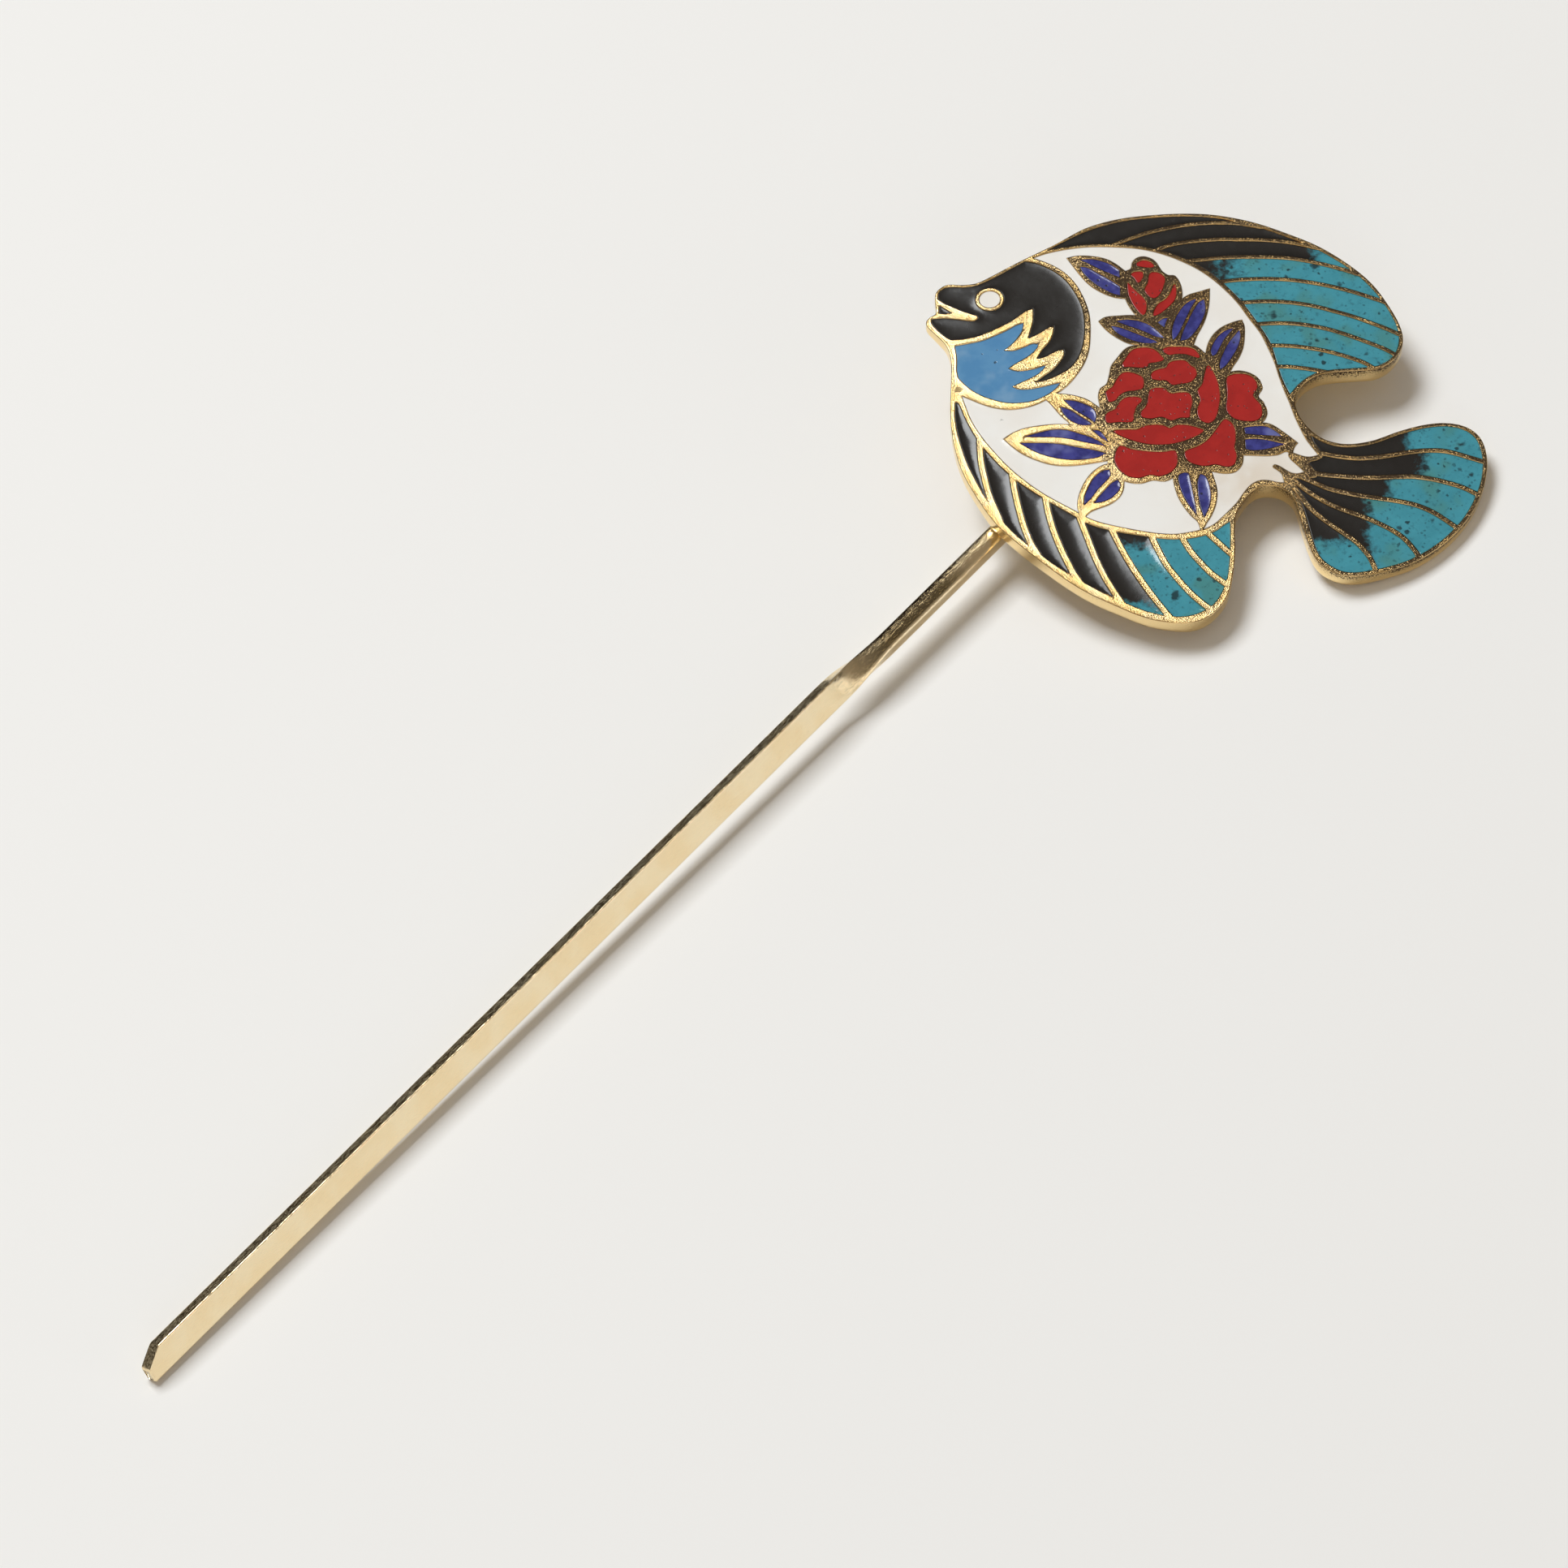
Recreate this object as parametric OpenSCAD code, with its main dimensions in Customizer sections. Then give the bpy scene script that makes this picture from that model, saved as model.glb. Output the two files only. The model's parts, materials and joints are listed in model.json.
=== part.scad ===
// Enamelled fish hat pin.
// A gilt fish plate is struck with raised walls, its cells are filled with hard enamel,
// and it is soldered by its flat back to a gilt wire stem that ends in a flattened blade.
//
// Frame: +X runs along the stem towards the fish, +Z is the fish's face side, and the origin
// is on the stem's axis where the stem passes under the plate's rim.
// The fish is drawn in its own plan: a runs from mouth to tail, b towards the dorsal fin.

/* [Plate] */
// Thickness of the plate at its rim
rim_thickness = 1.0; // [0.8:0.05:1.6]
// Radius of the gently domed face
dome_radius = 250; // [150:10:600]
// Thickness of the sheet under the enamel
floor_thickness = 0.5; // [0.3:0.05:0.6]
// Depth of the enamel's surface below the tops of the walls
enamel_recess = 0.05; // [0.02:0.01:0.12]

/* [Walls] */
// Width of the raised walls between the dorsal fin's rays
dorsal_wall = 0.30; // [0.2:0.02:0.4]
// Width of the raised walls between the belly fin's slots
belly_wall = 0.42; // [0.3:0.02:0.5]
// Width of the raised walls between the tail's rays
tail_wall = 0.34; // [0.24:0.02:0.44]
// Outer radius of the ring round the eye
eye_ring_r = 0.94; // [0.8:0.02:1.1]
// Radius of the white enamel in the eye
eye_r = 0.68; // [0.5:0.02:0.76]

/* [Stem] */
// Angle between the fish's length and the stem
stem_angle = 49.4; // [40:0.2:60]
// Width of the squared wire
shank_w = 1.25; // [1.0:0.05:1.6]
// Height of the squared wire, face to back
shank_h = 1.15; // [1.0:0.05:1.5]
// Radius of the wire's crowned upper side
crown_r = 1.1; // [0.8:0.05:3]
// Length of the wire under the plate
stem_under = 20; // [12:0.5:24]
// Length of the squared wire between the rim and the flattening
shank_len = 11.5; // [8:0.5:30]
// Length over which the wire turns into the blade
kink_len = 5.5; // [4:0.5:12]
// Distance from the rim to the blade's tip
reach = 79; // [60:1:110]
// Width of the blade
blade_w = 1.85; // [1.5:0.05:2.6]
// Thickness of the blade
blade_t = 0.85; // [0.6:0.05:1.1]
// Turn of the blade's wide face away from the fish's face
blade_turn = 58; // [30:1:80]
// Sideways step of the blade's middle from the wire's, which keeps one outline straight
blade_shift = 0.2; // [0:0.05:0.4]
// Length of the chamfer at the blade's tip
tip_chamfer = 1.4; // [0.8:0.1:3]

/* [Solder] */
// Radius of the solder fillet on each side of the stem
fillet_r = 0.55; // [0.3:0.05:0.57]
// Length of the solder fillets under the plate
fillet_len = 17; // [8:0.5:19]

/* [Quality] */
// Segments in each span of a curve
steps = 3; // [2:1:6]

/* [Hidden] */
FISH_AT = [-13.43, -8.3];       // where the stem's axis passes the rim, in the fish's plan
Z_BACK = shank_h / 2;           // the plate's flat back rests on the wire
Z_FLOOR = Z_BACK + floor_thickness;
Z_RIM = Z_BACK + rim_thickness;
FISH_REACH = 19;                // plan distance from the dome's middle to the far rim
DOME_PLAN_R = 24;               // the turned cap reaches past every part of the rim
DOME_STEPS = 8;                 // flats along the cap's slope
DOME_DEPTH = 6;
Z_TOP = Z_RIM + dome_fall(FISH_REACH);
EYE = [-13.45, 9.2];
TIP_ANGLE = 33;                 // of the tip's chamfer to the blade's length
GOLD = [0.86, 0.68, 0.36];
BLACK = [0.10, 0.09, 0.09];
WHITE = [0.93, 0.93, 0.92];
RED = [0.75, 0.10, 0.12];
COBALT = [0.16, 0.18, 0.55];
SKY = [0.28, 0.56, 0.82];
TEAL = [0.22, 0.58, 0.64];

// ---- Curves -------------------------------------------------------------------------------

// Point at t on the Catmull-Rom curve from q to r, with neighbours p and s.
function spline(p, q, r, s, t) =
    0.5 * (2 * q + (r - p) * t + (2 * p - 5 * q + 4 * r - s) * t * t
        + (3 * q - p - 3 * r + s) * t * t * t);

// Smooth closed curve through the points p.
function ring(p) = let (n = len(p)) [
    for (i = [0:n - 1], k = [0:steps - 1])
        spline(p[(i + n - 1) % n], p[i], p[(i + 1) % n], p[(i + 2) % n], k / steps)
];

// Smooth open curve through the points p, without its last point; two points give a straight edge.
function edge(p) = let (n = len(p)) n == 2 ? [p[0]] : [
    for (i = [0:n - 2], k = [0:steps - 1])
        spline(p[max(i - 1, 0)], p[i], p[i + 1], p[min(i + 2, n - 1)], k / steps)
];

// Closed outline of smooth edges that meet at corners: each edge starts where the last one ends.
function outline(edges) = [for (e = edges) each edge(e)];

function unit(v) = v / norm(v);
function tangent(c, i) = unit(c[min(i + 1, len(c) - 1)] - c[max(i - 1, 0)]);

// The curve through p moved sideways by d, to the left of its direction, and run on by over
// at both ends.
function beside(p, d, over = 0.8) = let (
    c = concat(edge(p), [p[len(p) - 1]]),
    n = len(c) - 1,
    left = [for (i = [0:n]) let (t = tangent(c, i)) c[i] + d * [-t[1], t[0]]]
) concat([left[0] - over * tangent(c, 0)], left, [left[n] + over * tangent(c, n)]);

function reversed(p) = [for (i = [len(p) - 1:-1:0]) p[i]];

// ---- The fish's outline and the fields inside its rim ---------------------------------------

FISH_EDGE = [
    [-17.0, 9.0], [-16.97, 9.8], [-16.6, 10.3], [-16.1, 10.52], [-15.2, 10.46], [-14.3, 10.56],
    [-13.3, 11.1], [-12.2, 11.8], [-11.1, 12.46], [-9.2, 13.56], [-7.1, 14.92], [-4.9, 15.66],
    [-2.8, 15.96], [-0.6, 16.08], [1.5, 15.94], [3.9, 15.35], [6.3, 14.33], [8.2, 13.32],
    [10.1, 11.83], [11.5, 10.29], [12.55, 8.4], [13.1, 7.0], [13.25, 5.9], [13.0, 4.95],
    [12.3, 4.0], [11.3, 3.46], [9.8, 3.28], [8.2, 3.08], [7.2, 2.65], [6.45, 1.9], [6.1, 1.0],
    [6.15, 0.1], [6.65, -0.95], [7.5, -1.87], [8.5, -2.32], [9.6, -2.4], [11.0, -2.08],
    [12.6, -1.36], [14.2, -0.8], [15.7, -0.57], [17.0, -0.82], [17.85, -1.55], [18.22, -2.7],
    [18.2, -4.2], [17.75, -6.0], [16.75, -8.0], [15.1, -9.92], [13.0, -11.4], [10.6, -12.22],
    [8.9, -12.42], [7.7, -11.95], [6.95, -11.15], [6.5, -9.9], [6.15, -8.4], [5.8, -6.9],
    [5.3, -6.15], [4.5, -5.76], [3.6, -5.82], [2.9, -6.35], [2.3, -7.25], [1.98, -8.1],
    [1.88, -9.2], [1.87, -10.6], [1.7, -12.2], [1.3, -13.9], [0.5, -15.1], [-0.5, -15.78],
    [-1.9, -15.96], [-3.8, -15.6], [-5.9, -14.62], [-8.0, -13.4], [-10.0, -11.75],
    [-11.9, -9.95], [-13.35, -8.35], [-14.6, -6.2], [-15.5, -4.1], [-15.98, -1.9],
    [-16.12, 0.3], [-16.05, 2.6], [-16.03, 4.3], [-16.3, 5.5], [-16.95, 6.4], [-17.5, 7.1],
    [-17.6, 7.55], [-17.35, 7.9], [-17.0, 8.15], [-16.95, 8.55]
];

// White body: under the dorsal border, over the tail's root, along the belly, round the head.
BODY_FIELD = [
    [[-10.55, 12.5], [-9.7, 12.85], [-8.4, 13.15], [-6.9, 13.32], [-5.2, 13.28], [-3.6, 13.1],
        [-2.2, 12.68], [-0.9, 12.05], [0.3, 11.25], [1.4, 10.2], [2.5, 8.8], [3.3, 7.4],
        [4.0, 6.2], [4.5, 4.9], [4.83, 3.86], [5.1, 2.7], [5.37, 1.71], [5.67, 0.76],
        [5.95, -0.25], [6.26, -1.14], [6.62, -2.05], [7.0, -2.7], [7.4, -3.3]],
    [[7.4, -3.3], [6.9, -3.45], [6.4, -3.4], [5.9, -3.2], [5.6, -3.12], [5.48, -3.35],
        [5.65, -3.72], [6.0, -4.1], [6.45, -4.62]],
    [[6.45, -4.62], [6.0, -4.75], [5.6, -4.68], [5.25, -4.45], [4.9, -4.2], [4.58, -4.08],
        [4.45, -4.28], [4.7, -4.5], [5.0, -4.8], [5.15, -5.45]],
    [[5.15, -5.45], [4.7, -5.42], [4.1, -5.28], [3.5, -5.33], [2.95, -5.7], [2.5, -6.3],
        [2.1, -6.95], [1.6, -7.55], [1.1, -8.1], [0.6, -8.6], [0.0, -8.95], [-0.9, -9.2],
        [-1.9, -9.36], [-3.0, -9.3], [-4.2, -9.08], [-5.4, -8.8], [-6.6, -8.45], [-7.4, -8.1],
        [-8.3, -7.5], [-9.4, -6.78], [-10.5, -5.98], [-11.6, -4.98], [-12.5, -4.0],
        [-13.4, -2.8], [-14.2, -1.55], [-14.8, -0.3], [-15.35, 1.5]],
    [[-15.35, 1.5], [-14.8, 1.2], [-14.1, 0.82], [-13.3, 0.5], [-12.4, 0.33], [-11.5, 0.4],
        [-10.7, 0.62], [-10.0, 0.98], [-9.3, 1.45], [-8.6, 2.05], [-7.95, 2.9], [-7.4, 3.9],
        [-7.08, 5.0], [-6.97, 6.4], [-7.0, 7.7], [-7.3, 9.0], [-7.85, 10.3], [-8.6, 11.3],
        [-9.5, 11.98], [-10.55, 12.5]]
];

// Dorsal fin: inside the rim from the forehead round to the notch, then back along the body.
DORSAL_FIELD = [
    [[-9.6, 13.12], [-8.74, 13.68], [-7.0, 14.66], [-4.9, 15.4], [-2.8, 15.72], [-0.6, 15.84],
        [1.5, 15.68], [3.9, 15.05], [6.26, 14.04], [8.1, 13.06], [9.9, 11.7], [11.2, 10.28],
        [12.2, 8.7], [12.85, 7.1], [12.98, 6.0], [12.72, 4.9], [12.1, 4.12], [11.24, 3.7],
        [9.8, 3.52], [8.1, 3.3], [7.1, 2.86], [6.35, 2.2], [5.75, 1.4]],
    [[5.75, 1.4], [5.4, 2.3], [5.13, 3.26], [4.93, 4.2], [4.65, 5.4], [4.1, 6.6], [3.4, 7.9],
        [2.7, 9.05], [1.75, 10.25], [0.7, 11.35], [-0.6, 12.25], [-1.9, 12.86], [-3.5, 13.34],
        [-5.2, 13.55], [-7.0, 13.56], [-8.5, 13.36], [-9.6, 13.12]]
];

// Belly fin and the band in front of it: inside the rim, then back along the body.
BELLY_FIELD = [
    [[-15.78, 1.0], [-15.8, -0.2], [-15.65, -1.4], [-15.38, -2.6], [-15.05, -3.75],
        [-14.6, -4.9], [-14.0, -6.25], [-13.2, -7.65], [-12.4, -8.8], [-11.5, -9.8],
        [-10.6, -10.65], [-9.6, -11.55], [-8.6, -12.3], [-7.6, -13.0], [-6.5, -13.7],
        [-5.3, -14.35], [-4.2, -14.9], [-3.2, -15.25], [-2.3, -15.42], [-1.4, -15.42],
        [-0.6, -15.2], [0.1, -14.8], [0.65, -14.2], [1.05, -13.4], [1.35, -12.4],
        [1.5, -11.2], [1.56, -10.2], [1.6, -9.2], [1.6, -8.4]],
    [[1.6, -8.4], [1.15, -8.75], [0.65, -9.15], [0.0, -9.46], [-0.9, -9.68], [-1.9, -9.76],
        [-2.9, -9.7], [-4.0, -9.5], [-5.3, -9.25], [-6.6, -8.9], [-7.6, -8.46],
        [-8.5, -7.82], [-9.5, -7.12], [-10.6, -6.3], [-11.7, -5.4], [-12.7, -4.35],
        [-13.6, -3.2], [-14.4, -1.95], [-15.1, -0.4], [-15.55, 0.9], [-15.78, 1.0]]
];

// Tail: inside the rim round to its root, then along the walls that gather there.
TAIL_FIELD = [
    [[6.98, -1.78], [7.6, -2.25], [8.5, -2.6], [9.6, -2.66], [11.0, -2.35], [12.6, -1.63],
        [14.2, -1.06], [15.7, -0.82], [16.85, -1.05], [17.6, -1.7], [17.93, -2.8],
        [17.92, -4.2], [17.48, -5.9], [16.5, -7.86], [14.9, -9.7], [12.85, -11.12],
        [10.5, -11.92], [8.95, -12.1], [7.95, -11.68], [7.25, -10.95], [6.85, -9.8],
        [6.55, -8.35], [6.2, -7.0], [5.72, -6.15]],
    [[5.72, -6.15], [5.62, -5.6], [5.85, -5.15], [6.5, -5.1], [7.15, -5.05], [7.3, -4.75],
        [7.1, -4.4], [6.8, -3.92], [7.3, -3.72], [7.72, -3.4], [7.6, -3.0], [7.2, -2.4],
        [6.98, -1.78]]
];

// ---- Rays: centre lines of the walls, each from the body outwards -----------------------------

DORSAL_RAYS = [
    [[-4.9, 13.7], [-3.98, 14.1], [-3.14, 14.45], [-2.07, 14.76], [-0.88, 15.05], [0.31, 15.23],
        [1.5, 15.3], [2.69, 15.27], [3.6, 15.12]],
    [[-2.4, 13.1], [-1.83, 13.36], [-0.88, 13.62], [0.31, 13.8], [1.74, 13.92], [2.69, 13.9],
        [3.88, 13.9], [5.07, 13.84], [6.26, 13.69], [7.3, 13.44]],
    [[-0.4, 12.13], [0.43, 12.21], [1.62, 12.37], [2.81, 12.44], [3.88, 12.46], [5.07, 12.45],
        [6.26, 12.37], [7.45, 12.14], [8.64, 11.83], [9.71, 11.48], [10.4, 11.22]],
    [[1.6, 10.4], [2.69, 10.55], [3.88, 10.64], [5.07, 10.65], [6.26, 10.58], [7.45, 10.4],
        [8.64, 10.14], [9.83, 9.81], [11.02, 9.39], [12.1, 8.95]],
    [[2.95, 8.7], [4.12, 8.8], [5.31, 8.8], [6.5, 8.68], [7.69, 8.44], [8.88, 8.08],
        [10.07, 7.69], [11.26, 7.19], [12.2, 6.77], [12.9, 6.4]],
    [[3.85, 6.95], [4.83, 7.04], [6.02, 7.04], [7.2, 6.9], [8.4, 6.62], [9.6, 6.2],
        [10.79, 5.7], [11.98, 5.15], [12.6, 4.75]],
    [[4.7, 5.25], [5.79, 5.23], [6.98, 5.1], [8.17, 4.87], [9.36, 4.51], [10.55, 4.04],
        [11.15, 3.65]],
    [[5.05, 3.56], [5.79, 3.56], [6.74, 3.45], [7.45, 3.33], [8.1, 3.2]]
];

BELLY_RAYS = [
    [[0.2, -9.35], [0.75, -9.95], [1.3, -10.55], [1.6, -10.85]],
    [[-1.45, -9.7], [-1.0, -10.6], [-0.4, -11.45], [0.3, -12.3], [1.0, -12.9], [1.25, -13.1]],
    [[-3.4, -9.6], [-3.0, -10.6], [-2.5, -11.7], [-1.7, -12.9], [-0.95, -13.85], [-0.2, -14.6],
        [0.1, -14.85]],
    [[-5.9, -9.1], [-5.45, -10.2], [-4.85, -11.5], [-4.15, -12.8], [-3.45, -13.95],
        [-2.75, -15.0], [-2.5, -15.35]],
    [[-7.95, -8.1], [-7.55, -9.4], [-7.05, -11.0], [-6.5, -12.4], [-5.9, -13.6], [-5.55, -14.2]],
    [[-10.1, -6.6], [-9.9, -7.9], [-9.55, -9.3], [-9.05, -10.75], [-8.5, -12.05], [-8.2, -12.6]],
    [[-12.2, -4.8], [-12.05, -6.0], [-11.8, -7.4], [-11.5, -8.7], [-11.1, -9.9], [-10.85, -10.4]],
    [[-14.25, -2.2], [-14.18, -3.6], [-13.97, -4.9], [-13.7, -6.2], [-13.3, -7.4]]
];

TAIL_RAYS = [
    [[7.75, -3.2], [8.64, -3.38], [9.83, -3.5], [11.02, -3.4], [12.2, -3.18], [13.0, -2.98],
        [14.0, -2.8], [15.2, -2.73], [16.1, -2.87], [17.07, -3.17], [18.0, -3.46]],
    [[6.8, -4.5], [7.45, -4.77], [8.64, -4.89], [9.83, -4.96], [11.0, -4.95], [12.3, -4.85],
        [13.5, -4.8], [14.7, -4.95], [15.7, -5.2], [16.6, -5.5], [17.5, -5.98]],
    [[6.4, -5.1], [7.2, -5.5], [7.93, -5.85], [8.88, -6.12], [9.83, -6.32], [11.02, -6.5],
        [12.2, -6.66], [13.26, -6.88], [14.0, -7.15], [14.7, -7.52], [15.4, -8.03],
        [16.1, -8.58]],
    [[5.75, -5.2], [6.26, -5.75], [6.86, -6.28], [7.45, -6.7], [8.17, -7.13], [9.12, -7.55],
        [10.07, -7.93], [11.02, -8.38], [11.98, -8.94], [12.7, -9.54], [13.4, -10.5],
        [13.5, -10.8]],
    [[5.7, -5.65], [6.14, -6.42], [6.55, -7.1], [7.1, -7.75], [7.81, -8.4], [8.64, -9.06],
        [9.48, -9.75], [10.07, -10.43], [10.49, -11.14], [10.78, -12.0]]
];

// ---- Flower spray: the outer edges of its walls -------------------------------------------------

ROSE_EDGE = [
    [-4.75, 5.0], [-5.35, 4.2], [-5.72, 3.6], [-5.85, 2.95], [-6.05, 2.2], [-6.45, 1.85],
    [-6.6, 1.2], [-6.52, 0.4], [-6.65, -0.3], [-6.5, -1.0], [-5.9, -2.0], [-5.75, -2.7],
    [-6.05, -3.4], [-5.98, -4.3], [-5.5, -5.05], [-4.85, -5.45], [-4.0, -5.55], [-3.25, -5.32],
    [-2.5, -5.4], [-1.9, -5.1], [-1.3, -4.6], [-0.6, -4.5], [0.3, -4.58], [1.2, -4.8],
    [2.0, -4.7], [2.5, -4.1], [2.6, -3.3], [2.45, -2.5], [2.5, -1.6], [2.55, -1.05],
    [3.2, -1.05], [3.9, -0.85], [4.25, -0.1], [4.05, 0.7], [3.72, 1.22], [4.0, 1.85],
    [3.8, 2.55], [3.25, 3.02], [2.5, 3.22], [1.7, 3.1], [1.2, 3.5], [0.8, 4.1], [0.3, 4.7],
    [-0.3, 5.25], [-1.2, 5.45], [-2.2, 5.4], [-3.2, 5.25], [-4.1, 5.25]
];

BUD_EDGE = [
    [-4.25, 11.5], [-4.15, 12.0], [-3.85, 12.38], [-3.38, 12.5], [-2.85, 12.3], [-2.5, 11.9],
    [-2.25, 11.35], [-1.85, 10.95], [-1.4, 10.9], [-1.1, 10.4], [-0.95, 9.7], [-1.0, 9.0],
    [-1.4, 8.45], [-1.8, 7.9], [-2.4, 7.4], [-3.0, 7.3], [-3.8, 7.45], [-4.3, 8.1],
    [-4.65, 8.95], [-4.9, 9.9], [-4.95, 10.7], [-4.65, 11.25]
];

LEAF_EDGES = [
    [[[-8.4, 12.45], [-7.7, 12.62], [-6.8, 12.58], [-5.9, 12.35], [-5.2, 11.9], [-4.5, 11.2]],
        [[-4.5, 11.2], [-4.4, 10.2], [-4.5, 9.0]],
        [[-4.5, 9.0], [-5.3, 9.1], [-6.1, 9.48], [-6.9, 10.1], [-7.5, 10.9], [-8.0, 11.75],
            [-8.4, 12.45]]],
    [[[-6.45, 7.22], [-6.0, 7.55], [-5.2, 7.65], [-4.2, 7.68], [-3.5, 7.5], [-2.8, 6.95],
            [-2.2, 6.35], [-1.8, 5.6]],
        [[-1.8, 5.6], [-1.9, 5.0], [-3.0, 5.0]],
        [[-3.0, 5.0], [-3.7, 5.22], [-4.5, 5.36], [-5.2, 5.78], [-5.8, 6.3], [-6.2, 6.8],
            [-6.45, 7.22]]],
    [[[0.85, 9.85], [0.2, 9.6], [-0.5, 9.35], [-1.0, 9.0], [-1.45, 8.6], [-1.75, 8.0],
            [-1.92, 7.2], [-2.0, 6.2], [-1.95, 5.2]],
        [[-1.95, 5.2], [-1.2, 5.0], [-0.4, 5.0]],
        [[-0.4, 5.0], [-0.1, 5.95], [0.3, 6.8], [0.6, 7.7], [0.78, 8.7], [0.85, 9.85]]],
    [[[2.85, 7.3], [2.2, 7.08], [1.5, 6.68], [0.95, 6.1], [0.58, 5.35], [0.35, 4.3]],
        [[0.35, 4.3], [0.8, 3.5], [1.3, 2.9]],
        [[1.3, 2.9], [1.9, 3.1], [2.2, 3.6], [2.55, 4.2], [2.85, 5.0], [2.98, 5.9], [3.0, 6.8],
            [2.85, 7.3]]],
    [[[-9.7, 1.5], [-9.0, 1.5], [-8.2, 1.36], [-7.4, 1.06], [-6.8, 0.6], [-6.3, 0.1]],
        [[-6.3, 0.1], [-6.2, -0.5], [-6.3, -1.3]],
        [[-6.3, -1.3], [-7.2, -1.17], [-8.0, -1.02], [-8.6, -0.7], [-9.1, -0.15], [-9.6, 0.6],
            [-10.1, 1.2]],
        [[-10.1, 1.2], [-9.7, 1.5]]],
    [[[-12.75, -1.92], [-12.1, -1.45], [-11.3, -1.12], [-10.3, -0.95], [-9.3, -0.87],
            [-8.4, -0.95], [-7.6, -1.16], [-6.6, -1.25], [-5.8, -1.8]],
        [[-5.8, -1.8], [-5.6, -2.8], [-5.8, -3.75]],
        [[-5.8, -3.75], [-6.8, -3.92], [-7.8, -4.08], [-8.8, -4.14], [-9.7, -4.02],
            [-10.6, -3.68], [-11.5, -3.17], [-12.2, -2.55], [-12.75, -1.92]]],
    [[[-7.8, -8.3], [-8.08, -7.4], [-8.04, -6.6], [-7.8, -5.8], [-7.42, -5.05], [-6.95, -4.48],
            [-6.3, -4.05], [-5.6, -4.0]],
        [[-5.6, -4.0], [-5.1, -4.6], [-5.05, -5.1]],
        [[-5.05, -5.1], [-5.1, -5.9], [-5.4, -6.58], [-6.0, -7.1], [-6.7, -7.4], [-7.3, -7.7],
            [-7.8, -8.3]]],
    [[[-0.25, -9.3], [-0.45, -8.5], [-0.85, -8.05], [-1.25, -7.45], [-1.62, -6.7],
            [-1.85, -5.9], [-1.95, -5.1], [-1.9, -4.3]],
        [[-1.9, -4.3], [-0.7, -4.2], [0.45, -4.3]],
        [[0.45, -4.3], [0.7, -5.2], [0.86, -6.1], [0.75, -7.1], [0.45, -7.95], [0.12, -8.55],
            [-0.25, -9.3]]],
    [[[2.3, -0.95], [3.1, -0.95], [3.9, -0.85], [4.5, -1.0], [5.1, -1.45], [5.7, -1.98],
            [6.15, -2.4]],
        [[6.15, -2.4], [5.95, -2.65], [5.82, -3.0], [5.75, -3.5]],
        [[5.75, -3.5], [5.4, -3.1], [4.8, -3.35], [4.1, -3.44], [3.2, -3.42], [2.3, -3.4]],
        [[2.3, -3.4], [2.2, -2.2], [2.3, -0.95]]]
];

// Walls that close the gaps between the bud and the leaves below it, and behind the rose.
SPRAY_WEBS = [
    [[-3.6, 7.5], [-1.6, 8.1], [-1.6, 4.8], [-2.4, 4.8], [-3.2, 6.9]],
    [[-6.8, -0.8], [-8.6, -0.7], [-8.4, -1.1], [-5.8, -1.9], [-6.2, -0.4]]
];

// ---- Enamel cells ---------------------------------------------------------------------------

HEAD_CELL = [
    [[-16.02, 6.02], [-16.48, 6.4], [-16.95, 6.95], [-17.22, 7.4], [-17.22, 7.74]],
    [[-17.22, 7.74], [-16.5, 7.78], [-15.7, 7.66], [-14.9, 7.52], [-14.45, 7.5], [-14.22, 7.7],
        [-14.35, 7.92], [-15.05, 8.22], [-15.8, 8.64], [-16.4, 9.0], [-16.78, 9.35]],
    [[-16.78, 9.35], [-16.75, 9.8], [-16.5, 10.15], [-16.05, 10.3], [-15.1, 10.25],
        [-14.2, 10.4], [-13.1, 10.98], [-12.2, 11.55], [-11.12, 12.25]],
    [[-11.12, 12.25], [-10.3, 12.02], [-9.3, 11.42], [-8.5, 10.6], [-7.85, 9.45], [-7.45, 8.2],
        [-7.35, 6.9], [-7.45, 5.6], [-7.75, 4.5], [-8.3, 3.6], [-9.1, 3.0], [-9.9, 2.62],
        [-10.6, 2.42]],
    [[-10.6, 2.42], [-10.1, 2.85], [-9.5, 3.35], [-8.98, 4.0], [-8.7, 4.6], [-8.74, 5.02]],
    [[-8.74, 5.02], [-9.3, 4.85], [-9.85, 4.5], [-10.45, 4.3]],
    [[-10.45, 4.3], [-10.1, 5.0], [-9.65, 5.6], [-9.4, 6.2], [-9.3, 6.9]],
    [[-9.3, 6.9], [-9.7, 6.78], [-10.3, 6.35], [-11.0, 5.95]],
    [[-11.0, 5.95], [-10.82, 6.6], [-10.65, 7.4], [-10.62, 8.38]],
    [[-10.62, 8.38], [-11.1, 8.2], [-11.6, 7.8], [-12.2, 7.32], [-13.0, 6.85], [-14.0, 6.35],
        [-15.0, 6.07], [-16.02, 6.02]]
];

MOUTH_CELL = [[-16.72, 8.85], [-16.4, 8.56], [-15.95, 8.2], [-16.35, 8.12], [-16.72, 8.18]];

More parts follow.
